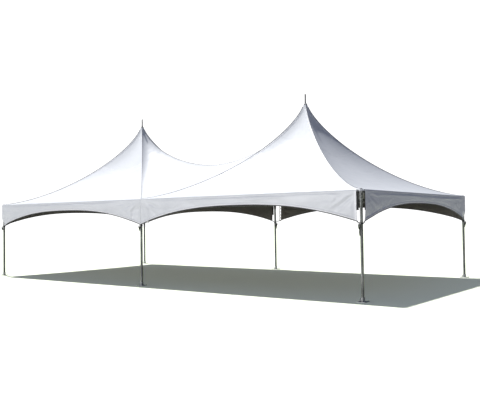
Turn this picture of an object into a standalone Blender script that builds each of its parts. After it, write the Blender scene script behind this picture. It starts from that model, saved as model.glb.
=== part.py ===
"""A marquee tent, 20 by 40 ft, with two peaks: frame, flying masts, canopy and arched valances.

Metres, +Z up. X runs along the long side, -Y is the front, and the ground is at Z = 0 under the tent's middle.
"""

import math

import bmesh
import bpy
from mathutils import Vector

# Driving dimensions

BAY = 6.096                      # 20 ft, the distance between two legs, both ways
EAVE_HEIGHT = 2.20               # the canopy's upper face at the eave
CANOPY_PEAK = 4.64               # the canopy's crown at each mast
SPIKE_TIP = 4.92
TUBE_RADIUS = 0.030              # legs, eave beams and masts
SLEEVE_RADIUS = 0.038            # the fittings that hold the tubes
SLEEVE_LENGTH = 0.17             # from a leg's axis to a sleeve's mouth along the eave
SLEEVE_FOOT = 1.97               # how low a fitting reaches down its leg
PLATE_WIDTH = 0.20
PLATE_HEIGHT = 0.008
SOCKET_RADIUS = 0.040            # the socket that stands on a base plate
SOCKET_TOP = 0.090
STAKE_HOLE_RADIUS = 0.009
STAKE_HOLE_PLACE = 0.075         # from the plate's middle, along its diagonal's two axes
CABLE_RADIUS = 0.005
CABLE_HEIGHT_AT_LEG = 2.085
MAST_FOOT_RADIUS = 0.060
MAST_FOOT_BOTTOM = 2.00
MAST_FOOT_TOP = 2.05
MAST_SHOULDER = 4.42             # where the mast's tube narrows into its spike, inside the crown
SPIKE_RADIUS = 0.018
SKIN = 0.010                     # canopy and valances, thicker than real vinyl
EAVE_OVERHANG = 0.052            # from the legs' axes to the canopy's edge
VALANCE_DROP_LEG = 0.64          # valance height at a leg
VALANCE_DROP_MIDDLE = 0.23       # and in the middle of a bay
VALANCE_ARCH_POWER = 2.45        # how square the arch's shoulders are
VALANCE_SLOT = 0.085             # from a leg's axis to a valance's open edge
VALANCE_LACED_SLOT = 0.200       # and to an open edge that is laced to the leg

# The canopy's shape, as shares of its rise and of half a bay

CROWN_REACH = 0.0115             # the crown's opening round the mast
SADDLE_SHARE = 0.425             # height of the ridge between the peaks
PROFILE_POWER = 0.75
HIP_STEEPNESS = 1.45
RIDGE_STEEPNESS = 1.80
PANEL_SAG = 0.30

# Fineness

ROUND_SIDES = 24
CABLE_SIDES = 8
STAKE_HOLE_SIDES = 12
CANOPY_RINGS = 10
CANOPY_SIDE_STEPS = 8
VALANCE_STEPS = 20

# Clearances between touching pieces

GAP = 0.0003
BORE_GAP = 0.0005
SEAM_GAP = 0.0006                # between the canopy's two halves

BEAM_HEIGHT = EAVE_HEIGHT - SKIN - GAP - SLEEVE_RADIUS
LEG_TOP = BEAM_HEIGHT - 0.050
BEAM_START = 0.050               # from a leg's axis to the end of an eave beam
HALF_LENGTH = BAY
HALF_WIDTH = BAY / 2
RISE = CANOPY_PEAK - EAVE_HEIGHT
LENGTH_PLACES = {"left": -HALF_LENGTH, "middle": 0.0, "right": HALF_LENGTH}
WIDTH_PLACES = {"front": -HALF_WIDTH, "back": HALF_WIDTH}
BAY_CENTRES = {"left": -HALF_LENGTH / 2, "right": HALF_LENGTH / 2}


def make_material(name, color, roughness, metallic):
    """A Principled material with one colour, roughness and metallic value."""
    material = bpy.data.materials.new(name)
    material.use_nodes = True
    shader = material.node_tree.nodes["Principled BSDF"]
    shader.inputs["Base Color"].default_value = (*color, 1.0)
    shader.inputs["Roughness"].default_value = roughness
    shader.inputs["Metallic"].default_value = metallic
    return material


FINISHES = {
    "canvas": ((0.90, 0.91, 0.93), 0.45, 0.0),
    "tube": ((0.62, 0.63, 0.64), 0.35, 1.0),
    "fitting": ((0.50, 0.51, 0.52), 0.40, 1.0),
    "plate": ((0.45, 0.46, 0.47), 0.50, 1.0),
    "cable": ((0.40, 0.41, 0.42), 0.35, 1.0),
}


def place(name, mesh, finish, location=(0, 0, 0), turn=0.0):
    """Put a mesh in the scene as one named part with a material of its own, turned about the upright axis."""
    part = bpy.data.objects.new(name, mesh)
    bpy.context.scene.collection.objects.link(part)
    part.location = location
    part.rotation_euler = (0, 0, turn)
    part.parent = TENT
    part.data.materials.clear()
    part.data.materials.append(make_material(name, *FINISHES[finish]))
    return part


def mesh_from(builder, name, smooth_angle=math.radians(35)):
    """Turn a bmesh into a mesh that is shaded smooth except at its sharp edges."""
    bmesh.ops.recalc_face_normals(builder, faces=builder.faces)
    mesh = bpy.data.meshes.new(name)
    builder.to_mesh(mesh)
    builder.free()
    mesh.shade_smooth()
    mesh.set_sharp_from_angle(angle=smooth_angle)
    return mesh


def turned_mesh(name, outline, sides=ROUND_SIDES, hollow=False):
    """Turn an outline of (radius, height) pairs about Z.

    A hollow outline is closed on itself and gives a ring; any other is closed with a flat cap at each end.
    """
    builder = bmesh.new()
    rings = [[builder.verts.new((radius * math.cos(angle), radius * math.sin(angle), height))
              for angle in (math.tau * step / sides for step in range(sides))]
             for radius, height in outline]
    pairs = list(zip(rings, rings[1:])) + ([(rings[-1], rings[0])] if hollow else [])
    for lower, upper in pairs:
        for step in range(sides):
            after = (step + 1) % sides
            builder.faces.new((lower[step], lower[after], upper[after], upper[step]))
    if not hollow:
        builder.faces.new(reversed(rings[0]))
        builder.faces.new(rings[-1])
    return mesh_from(builder, name)


def rod_mesh(name, length, radius, sides=ROUND_SIDES):
    """A plain round rod that stands on the origin along Z."""
    return turned_mesh(name, [(radius, 0.0), (radius, length)], sides)


def lay_along(item, start, end):
    """Stand an object on start, so that its own Z points to end."""
    item.location = start
    item.rotation_euler = (Vector(end) - Vector(start)).to_track_quat("Z", "Y").to_euler()
    return item


def helper(mesh, start=(0, 0, 0), end=(0, 0, 1)):
    """A hidden object that a Boolean uses, standing on start with its own Z towards end."""
    item = bpy.data.objects.new(mesh.name, mesh)
    bpy.context.scene.collection.objects.link(item)
    item.hide_render = True
    item.display_type = "WIRE"
    return lay_along(item, start, end)


def combined_mesh(name, base, *steps):
    """The mesh that is left when each (operation, tool) step has acted on the base; the helpers are removed."""
    for operation, tool in steps:
        modifier = base.modifiers.new(operation, "BOOLEAN")
        modifier.operation = operation
        modifier.object = tool
        modifier.solver = "EXACT"
    graph = bpy.context.evaluated_depsgraph_get()
    mesh = bpy.data.meshes.new_from_object(base.evaluated_get(graph))
    mesh.transform(base.matrix_world)
    mesh.name = name
    for item in (base, *(tool for operation, tool in steps)):
        bpy.data.objects.remove(item)
    return mesh


def build_base_plates():
    """A square plate with a socket for the leg and two stake holes, under each leg."""
    builder = bmesh.new()
    bmesh.ops.create_cube(builder, size=1.0)
    bmesh.ops.scale(builder, verts=builder.verts, vec=(PLATE_WIDTH, PLATE_WIDTH, PLATE_HEIGHT))
    bmesh.ops.translate(builder, verts=builder.verts, vec=(0, 0, PLATE_HEIGHT / 2))
    upright = [edge for edge in builder.edges
               if abs(edge.verts[0].co.z - edge.verts[1].co.z) > PLATE_HEIGHT / 2]
    bmesh.ops.bevel(builder, geom=upright, offset=0.012, segments=3, affect="EDGES", profile=0.5)
    plate = helper(mesh_from(builder, "plate_body"))
    socket = helper(rod_mesh("socket_body", SOCKET_TOP - PLATE_HEIGHT / 2, SOCKET_RADIUS),
                    (0, 0, PLATE_HEIGHT / 2), (0, 0, 1))
    bore = helper(rod_mesh("socket_bore", SOCKET_TOP, TUBE_RADIUS + BORE_GAP), (0, 0, PLATE_HEIGHT), (0, 0, 1))
    steps = [("UNION", socket), ("DIFFERENCE", bore)]
    for side in (-1, 1):
        hole = rod_mesh("stake_hole", 4 * PLATE_HEIGHT, STAKE_HOLE_RADIUS, STAKE_HOLE_SIDES)
        foot = (side * STAKE_HOLE_PLACE, side * STAKE_HOLE_PLACE, -PLATE_HEIGHT)
        steps.append(("DIFFERENCE", helper(hole, foot, (foot[0], foot[1], 1))))
    mesh = combined_mesh("base_plate", plate, *steps)
    for depth_name, y in WIDTH_PLACES.items():
        for length_name, x in LENGTH_PLACES.items():
            place(f"base_{depth_name}_{length_name}", mesh.copy(), "plate", (x, y, 0))


def build_legs():
    """Six upright tubes, each standing in its base plate's socket."""
    foot = PLATE_HEIGHT + GAP
    for depth_name, y in WIDTH_PLACES.items():
        for length_name, x in LENGTH_PLACES.items():
            mesh = rod_mesh("leg", LEG_TOP - foot, TUBE_RADIUS)
            place(f"leg_{depth_name}_{length_name}", mesh, "tube", (x, y, foot))


def fitting_mesh(name, arms):
    """A fitting with a sleeve down over its leg and one along each arm direction, round the leg's axis at z = 0."""
    upright = rod_mesh("upright", BEAM_HEIGHT + 0.95 * SLEEVE_RADIUS - SLEEVE_FOOT, SLEEVE_RADIUS)
    base = helper(upright, (0, 0, SLEEVE_FOOT), (0, 0, EAVE_HEIGHT))
    unions = []
    cuts = [helper(rod_mesh("leg_bore", LEG_TOP + GAP, TUBE_RADIUS + BORE_GAP), (0, 0, 0), (0, 0, 1))]
    for x, y in arms:
        back = 0.9 * SLEEVE_RADIUS
        start = (-x * back, -y * back, BEAM_HEIGHT)
        mouth = (x * SLEEVE_LENGTH, y * SLEEVE_LENGTH, BEAM_HEIGHT)
        unions.append(helper(rod_mesh("arm", SLEEVE_LENGTH + back, SLEEVE_RADIUS), start, mouth))
        bore_start = (x * (BEAM_START - GAP), y * (BEAM_START - GAP), BEAM_HEIGHT)
        cuts.append(helper(rod_mesh("arm_bore", SLEEVE_LENGTH, TUBE_RADIUS + BORE_GAP), bore_start, mouth))
    steps = [("UNION", item) for item in unions] + [("DIFFERENCE", item) for item in cuts]
    return combined_mesh(name, base, *steps)


def build_fittings():
    """Corner fittings with two arms and side fittings with two arms in line, one on each leg."""
    corner_turns = {("front", "left"): 0, ("front", "right"): 90, ("back", "right"): 180, ("back", "left"): 270}
    corner = fitting_mesh("corner_fitting", [(1, 0), (0, 1)])
    for (depth_name, length_name), degrees in corner_turns.items():
        spot = (LENGTH_PLACES[length_name], WIDTH_PLACES[depth_name], 0)
        place(f"fitting_{depth_name}_{length_name}", corner.copy(), "fitting", spot, math.radians(degrees))
    side = fitting_mesh("side_fitting", [(1, 0), (-1, 0)])
    for depth_name, y in WIDTH_PLACES.items():
        place(f"fitting_{depth_name}_middle", side.copy(), "fitting", (0, y, 0))


def build_beams():
    """Six eave beams that run from fitting to fitting."""
    length = BAY - 2 * BEAM_START
    for depth_name, y in WIDTH_PLACES.items():
        for bay_name, centre in BAY_CENTRES.items():
            beam = place(f"beam_{depth_name}_{bay_name}", rod_mesh("beam", length, TUBE_RADIUS), "tube")
            lay_along(beam, (centre - length / 2, y, BEAM_HEIGHT), (centre + length / 2, y, BEAM_HEIGHT))
    for length_name in ("left", "right"):
        x = LENGTH_PLACES[length_name]
        beam = place(f"beam_end_{length_name}", rod_mesh("beam", length, TUBE_RADIUS), "tube")
        lay_along(beam, (x, -length / 2, BEAM_HEIGHT), (x, length / 2, BEAM_HEIGHT))


def build_masts():
    """A flying mast in each bay: a foot disc that the cables hold, the tube, a cone and a thin spike."""
    outline = [(MAST_FOOT_RADIUS, MAST_FOOT_BOTTOM), (MAST_FOOT_RADIUS, MAST_FOOT_TOP),
               (TUBE_RADIUS, MAST_FOOT_TOP + 0.010), (TUBE_RADIUS, MAST_SHOULDER),
               (SPIKE_RADIUS, MAST_SHOULDER + 0.12), (SPIKE_RADIUS, SPIKE_TIP - 0.012), (0.004, SPIKE_TIP)]
    for bay_name, centre in BAY_CENTRES.items():
        place(f"mast_{bay_name}", turned_mesh("mast", outline), "tube", (centre, 0, 0))


def build_crown_collars():
    """A small turned collar round each spike that sits on the canopy's crown."""
    seat = CANOPY_PEAK + GAP
    bore = SPIKE_RADIUS + BORE_GAP
    outline = [(bore, seat), (0.048, seat), (0.050, seat + 0.003), (0.047, seat + 0.008),
               (0.027, seat + 0.026), (0.025, seat + 0.042), (bore, seat + 0.043)]
    for bay_name, centre in BAY_CENTRES.items():
        place(f"collar_{bay_name}", turned_mesh("collar", outline, hollow=True), "fitting", (centre, 0, 0))


def build_cables():
    """Four taut cables in each bay, from the mast's foot to the fittings on the bay's legs."""
    foot_height = (MAST_FOOT_BOTTOM + MAST_FOOT_TOP) / 2
    for bay_name, centre in BAY_CENTRES.items():
        for depth_name, y in WIDTH_PLACES.items():
            for length_name in (bay_name, "middle"):
                flat_way = Vector((LENGTH_PLACES[length_name] - centre, y, 0)).normalized()
                start = Vector((centre, 0, foot_height)) + (MAST_FOOT_RADIUS + BORE_GAP) * flat_way
                end = Vector((LENGTH_PLACES[length_name], y, CABLE_HEIGHT_AT_LEG))
                end -= (SLEEVE_RADIUS + BORE_GAP) * flat_way
                mesh = rod_mesh("cable", (end - start).length, CABLE_RADIUS, CABLE_SIDES)
                lay_along(place(f"cable_{bay_name}_{depth_name}_{length_name}", mesh, "cable"), start, end)


def profile(reach, steepness):
    """Fall from 1 at reach 0 to 0 at reach 1: steep at first, then nearly level."""
    return (1 - min(1.0, reach) ** PROFILE_POWER) ** steepness


def saddle_line(across):
    """The height share along the line over the tent's middle, from its ridge (0) to a leg (1)."""
    return SADDLE_SHARE * (1 - across ** 1.3) ** 1.35


def rise_share(along, across):
    """How high the canopy stands above the eave, as a share of its rise, at a place in its bay.

    Both places run from -1 to 1 with the crown at 0: along towards the tent's middle, across towards its back.
    The hips are the two diagonals. The panels at the front, the back and the end sag in between them. The
    panel towards the tent's middle fans out from the crown to the saddle line, and it meets that line level.
    """
    across = abs(across)
    reach = max(abs(along), across)
    lean = min(abs(along), across) / reach
    if along < across:
        sag = PANEL_SAG * reach * (1 - reach) * (1 - lean ** 2)
        return profile(reach + sag, HIP_STEEPNESS)
    edge = saddle_line(lean)
    fanned = edge + (1 - edge) * profile(reach, RIDGE_STEEPNESS + (HIP_STEEPNESS - RIDGE_STEEPNESS) * lean)
    edge = saddle_line(across)
    past_hip = (along - across) / max(1 - across, 1e-6)
    level = edge + (profile(across, HIP_STEEPNESS) - edge) * profile(past_hip, RIDGE_STEEPNESS)
    share = along * along * (3 - 2 * along)
    return fanned + (level - fanned) * share


def square_outline(steps):
    """Points round a square of half-width 1, in turn the front, the outer end, the back and the middle side.

    Each is (to_middle, across), the place towards the tent's middle and towards its back.
    """
    runs = [2 * step / steps - 1 for step in range(steps)]
    return ([(-run, -1) for run in runs] + [(-1, run) for run in runs]
            + [(run, 1) for run in runs] + [(1, -run) for run in runs])


def canopy_mesh(name, outward):
    """One bay's canopy as an open sheet of rings round its crown, with a level strip out over the eave beams."""
    outline = square_outline(CANOPY_SIDE_STEPS)
    middle_side = 3 * CANOPY_SIDE_STEPS
    half = BAY / 2
    builder = bmesh.new()

    def ring(level, inner_half, outer_half, across_half):
        """A ring of corners at one level, where the level 0 is the crown and 1 the bay's edge."""
        corners = []
        for to_middle, across in outline:
            share = rise_share(level * to_middle, level * across) if level else 1.0
            x = -outward * to_middle * (inner_half if to_middle > 0 else outer_half)
            corners.append(builder.verts.new((x, across * across_half, EAVE_HEIGHT + RISE * share)))
        return corners

    def bridge(inner, outer, steps):
        """Faces between two rings, over the given steps."""
        for step in steps:
            after = (step + 1) % len(outline)
            builder.faces.new((inner[step], inner[after], outer[after], outer[step]))

    inner = None
    for index in range(CANOPY_RINGS + 1):
        level = (index / CANOPY_RINGS) ** 1.7
        reach = half * (CROWN_REACH + (1 - CROWN_REACH) * level)
        corners = ring(level, reach - SEAM_GAP / 2 * level, reach, reach)
        if inner:
            bridge(inner, corners, range(len(outline)))
        inner = corners
    edge_half = half + EAVE_OVERHANG
    bridge(inner, ring(1.0, half - SEAM_GAP / 2, edge_half, edge_half), range(middle_side))
    loose = [corner for corner in builder.verts if not corner.link_faces]
    bmesh.ops.delete(builder, geom=loose, context="VERTS")
    mesh = mesh_from(builder, name)
    if sum(face.normal.z for face in mesh.polygons) < 0:
        mesh.flip_normals()
    return mesh


def build_canopy():
    """The canopy's two halves, each a thin closed shell that is open below."""
    for bay_name, centre in BAY_CENTRES.items():
        outward = math.copysign(1, centre)
        part = place(f"canopy_{bay_name}", canopy_mesh("canopy", outward), "canvas", (centre, 0, 0))
        solid = part.modifiers.new("Skin", "SOLIDIFY")
        solid.thickness = SKIN
        solid.offset = -1


def valance_drop(place_in_bay):
    """How far the valance hangs down, at a place from -1 at one leg to 1 at the next."""
    share = min(1, abs(place_in_bay)) ** VALANCE_ARCH_POWER
    return VALANCE_DROP_MIDDLE + (VALANCE_DROP_LEG - VALANCE_DROP_MIDDLE) * share


def valance_mesh(name, start, end):
    """An arched valance along X from start to end, measured from its bay's middle; its inner face is at y = 0."""
    top = EAVE_HEIGHT - SKIN - GAP
    builder = bmesh.new()
    columns = []
    for step in range(VALANCE_STEPS + 1):
        x = start + (end - start) * step / VALANCE_STEPS
        hem = top - valance_drop(2 * x / BAY)
        columns.append([builder.verts.new(point)
                        for point in ((x, 0, top), (x, 0, hem), (x, -SKIN, hem), (x, -SKIN, top))])
    for column, following in zip(columns, columns[1:]):
        for corner in range(4):
            after = (corner + 1) % 4
            builder.faces.new((column[corner], column[after], following[after], following[corner]))
    builder.faces.new(reversed(columns[0]))
    builder.faces.new(columns[-1])
    return mesh_from(builder, name)


def build_valances():
    """Six arched valances under the canopy's edge.

    They are open at the front right corner and at the back's middle and left legs, where each leg shows in a
    slot, wider on the side that is laced, and closed at the others. The end valances run between the inner
    faces of the long ones.
    """
    half = BAY / 2
    inner = half + EAVE_OVERHANG - SKIN
    corner = half + EAVE_OVERHANG
    slot = half - VALANCE_SLOT
    laced = half - VALANCE_LACED_SLOT
    butt = half - GAP / 2
    between = inner - GAP
    # For each valance: its middle on the ground plan, its turn, and its two ends as seen from outside
    layouts = {
        "front_left": ((-half, -inner), 0, -corner, butt),
        "front_right": ((half, -inner), 0, -butt, slot),
        "end_right": ((HALF_LENGTH + EAVE_OVERHANG - SKIN, 0), 90, -slot, between),
        "back_right": ((half, inner), 180, -corner, laced),
        "back_left": ((-half, inner), 180, -slot, laced),
        "end_left": ((-HALF_LENGTH - EAVE_OVERHANG + SKIN, 0), 270, -slot, between),
    }
    for side, ((x, y), degrees, start, end) in layouts.items():
        mesh = valance_mesh("valance", start, end)
        place(f"valance_{side}", mesh, "canvas", (x, y, 0), math.radians(degrees))


for old in list(bpy.data.objects):
    bpy.data.objects.remove(old)
TENT = bpy.data.objects.new("tent", None)
bpy.context.scene.collection.objects.link(TENT)
build_base_plates()
build_legs()
build_fittings()
build_beams()
build_masts()
build_crown_collars()
build_cables()
build_canopy()
build_valances()
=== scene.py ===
"""A marquee tent with two peaks: its cloth, seams, ties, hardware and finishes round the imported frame.

Metres, +Z up. X runs along the long side and -Y is the front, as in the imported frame.
"""

import logging
import math
from dataclasses import dataclass, field
from enum import Enum
from typing import Callable, Iterable, Sequence

import bmesh
import bpy
from bpy.types import Material, Mesh, Node, NodeSocket, NodeTree, Object
from mathutils import Matrix, Vector, noise

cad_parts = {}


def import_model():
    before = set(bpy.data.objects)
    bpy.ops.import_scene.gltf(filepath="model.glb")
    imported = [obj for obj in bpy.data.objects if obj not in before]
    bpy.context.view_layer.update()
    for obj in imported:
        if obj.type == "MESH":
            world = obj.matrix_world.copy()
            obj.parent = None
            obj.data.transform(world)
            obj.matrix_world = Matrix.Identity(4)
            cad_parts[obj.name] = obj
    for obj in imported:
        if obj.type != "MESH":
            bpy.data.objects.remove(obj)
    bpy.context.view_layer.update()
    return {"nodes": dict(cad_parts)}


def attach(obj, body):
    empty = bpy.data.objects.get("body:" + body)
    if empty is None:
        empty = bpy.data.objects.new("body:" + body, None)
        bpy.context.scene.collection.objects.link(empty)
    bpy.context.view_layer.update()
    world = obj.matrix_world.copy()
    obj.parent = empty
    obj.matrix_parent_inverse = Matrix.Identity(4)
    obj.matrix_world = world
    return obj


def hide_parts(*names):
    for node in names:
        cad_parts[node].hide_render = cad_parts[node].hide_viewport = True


LOG = logging.getLogger("marquee")
Point = tuple[float, float, float]
Colour = tuple[float, float, float]


# The tent's plan


@dataclass(frozen=True)
class Plan:
    """The sizes of the frame, and where the cloth's doubled crown piece ends as a share of the way out."""

    bay: float = 6.096
    eave_height: float = 2.20
    crown_height: float = 4.64
    overhang: float = 0.052
    skin: float = 0.010
    tube_radius: float = 0.030
    sleeve_radius: float = 0.038
    beam_height: float = 2.1517
    cable_height: float = 2.085
    crown_piece: float = 0.285

    @property
    def half(self) -> float:
        """Half a bay."""
        return self.bay / 2

    def legs(self) -> list[tuple[str, float, float]]:
        """Each leg's name and place."""
        return [(f"{depth}_{length}", x, y)
                for depth, y in (("front", -self.half), ("back", self.half))
                for length, x in (("left", -self.bay), ("middle", 0.0), ("right", self.bay))]

    def bays(self) -> list[tuple[str, float, float]]:
        """Each bay's name, its side (-1 or 1) and its middle along X."""
        return [("left", -1.0, -self.half), ("right", 1.0, self.half)]


PLAN = Plan()


# Node trees


class Value:
    """A number socket of a node tree. Python's arithmetic on it adds Math nodes to the tree."""

    def __init__(self, graph: "Graph", socket: NodeSocket) -> None:
        """Keep the socket and its tree.

        Args:
            graph: The tree that the socket is in.
            socket: An output that gives one number.
        """
        self.graph = graph
        self.socket = socket

    def _with(self, operation: str, first: "Value | float", second: "Value | float" = 0.0) -> "Value":
        """Add one Math node.

        Args:
            operation: The Math node's operation.
            first: Its first number.
            second: Its second number.

        Returns:
            The node's result.
        """
        node = self.graph.add("ShaderNodeMath", {"operation": operation}, {0: first, 1: second})
        return Value(self.graph, node.outputs[0])

    def __add__(self, other: "Value | float") -> "Value":
        """The sum."""
        return self._with("ADD", self, other)

    __radd__ = __add__

    def __sub__(self, other: "Value | float") -> "Value":
        """The difference."""
        return self._with("SUBTRACT", self, other)

    def __rsub__(self, other: "Value | float") -> "Value":
        """The difference, the other way round."""
        return self._with("SUBTRACT", other, self)

    def __mul__(self, other: "Value | float") -> "Value":
        """The product."""
        return self._with("MULTIPLY", self, other)

    __rmul__ = __mul__

    def __abs__(self) -> "Value":
        """The size without its sign."""
        return self._with("ABSOLUTE", self)

    def sine(self) -> "Value":
        """The sine of an angle in radians."""
        return self._with("SINE", self)

    def over(self, edge: "Value | float") -> "Value":
        """1 where it is greater than an edge, and 0 elsewhere."""
        return self._with("GREATER_THAN", self, edge)

    def most(self, other: "Value | float") -> "Value":
        """The greater of two."""
        return self._with("MAXIMUM", self, other)


class Graph:
    """A node tree that is built one node at a time."""

    def __init__(self, tree: NodeTree) -> None:
        """Keep the tree.

        Args:
            tree: An empty shader or geometry tree.
        """
        self.tree = tree

    def add(self, kind: str, settings: dict | None = None, sockets: dict | None = None) -> Node:
        """Add a node, set it up, and then set or link its sockets.

        Args:
            kind: The node's type name.
            settings: Properties by name.
            sockets: Values, sockets or nodes (their first output) by input name or number.

        Returns:
            The new node.
        """
        node = self.tree.nodes.new(kind)
        for name, setting in (settings or {}).items():
            setattr(node, name, setting)
        for key, value in (sockets or {}).items():
            value = getattr(value, "socket", value)
            if isinstance(value, Node):
                value = value.outputs[0]
            if isinstance(value, NodeSocket):
                self.tree.links.new(value, node.inputs[key])
            else:
                node.inputs[key].default_value = value
        return node


class Paint(Graph):
    """A material's node tree, with the few textures that the finishes share."""

    def __init__(self, name: str) -> None:
        """Start a material with an empty tree.

        Args:
            name: The material's name.
        """
        self.material = bpy.data.materials.new(name)
        self.material.use_nodes = True
        super().__init__(self.material.node_tree)
        self.tree.nodes.clear()

    def place(self, scale: Point = (1.0, 1.0, 1.0)) -> NodeSocket:
        """Object coordinates in metres, stretched.

        Args:
            scale: How many times finer the pattern is along each axis.

        Returns:
            The vector.
        """
        source = self.add("ShaderNodeTexCoord").outputs["Object"]
        return self.add("ShaderNodeMapping", {}, {"Vector": source, "Scale": scale}).outputs[0]

    def cut(self, scale: Point = (1.0, 1.0, 1.0), layer: str = "cut") -> NodeSocket:
        """The piece's own layout on its cloth, in metres.

        Args:
            scale: How many times finer the pattern is along each axis.
            layer: The name of the layout.

        Returns:
            The vector.
        """
        source = self.add("ShaderNodeUVMap", {"uv_map": layer}).outputs[0]
        return self.add("ShaderNodeMapping", {}, {"Vector": source, "Scale": scale}).outputs[0]

    def parts(self, vector: NodeSocket) -> tuple[Value, Value, Value]:
        """A vector's three numbers."""
        node = self.add("ShaderNodeSeparateXYZ", {}, {0: vector})
        return tuple(Value(self, node.outputs[index]) for index in range(3))

    def cloud(self, vector: NodeSocket, scale: float, detail: float = 3.0, rough: float = 0.5,
              swirl: float = 0.0) -> Value:
        """Fractal noise from 0 to 1.

        Args:
            vector: Where it is read.
            scale: Its fineness, in blots for each metre.
            detail: How many finer layers it has.
            rough: How strong the finer layers are.
            swirl: How far it is distorted.

        Returns:
            The noise.
        """
        sockets = {"Vector": vector, "Scale": scale, "Detail": detail, "Roughness": rough,
                   "Distortion": swirl}
        return Value(self, self.add("ShaderNodeTexNoise", {}, sockets).outputs[0])

    def level(self, value: Value, low: float, high: float) -> Value:
        """How far a number has come from low to high, from 0 to 1."""
        node = self.add("ShaderNodeMapRange", {"interpolation_type": "SMOOTHSTEP"},
                        {"Value": value, "From Min": low, "From Max": high})
        return Value(self, node.outputs[0])

    def blend(self, share: Value | float, first: Colour | NodeSocket,
              second: Colour | NodeSocket) -> NodeSocket:
        """Mix two colours.

        Args:
            share: How much of the second there is, from 0 to 1.
            first: The colour at 0.
            second: The colour at 1.

        Returns:
            The mixed colour.
        """
        tones = [(*tone, 1.0) if isinstance(tone, tuple) else tone for tone in (first, second)]
        node = self.add("ShaderNodeMix", {"data_type": "RGBA"}, {0: share, 6: tones[0], 7: tones[1]})
        return node.outputs[2]

    def relief(self, height: Value, depth: float, under: NodeSocket | None = None,
               strength: float = 1.0) -> NodeSocket:
        """A normal that shows a height.

        Args:
            height: The height, from 0 to 1.
            depth: How many metres 1 stands above 0.
            under: A normal from a coarser relief.
            strength: The share of it that shows.

        Returns:
            The normal.
        """
        sockets = {"Height": height, "Distance": depth, "Strength": strength}
        if under is not None:
            sockets["Normal"] = under
        return self.add("ShaderNodeBump", {}, sockets).outputs[0]

    def finish(self, sockets: dict) -> Material:
        """End the tree in a Principled shader.

        Args:
            sockets: Its values and links by input name.

        Returns:
            The material.
        """
        shader = self.add("ShaderNodeBsdfPrincipled", {}, sockets)
        self.add("ShaderNodeOutputMaterial", {}, {"Surface": shader})
        return self.material


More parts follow.
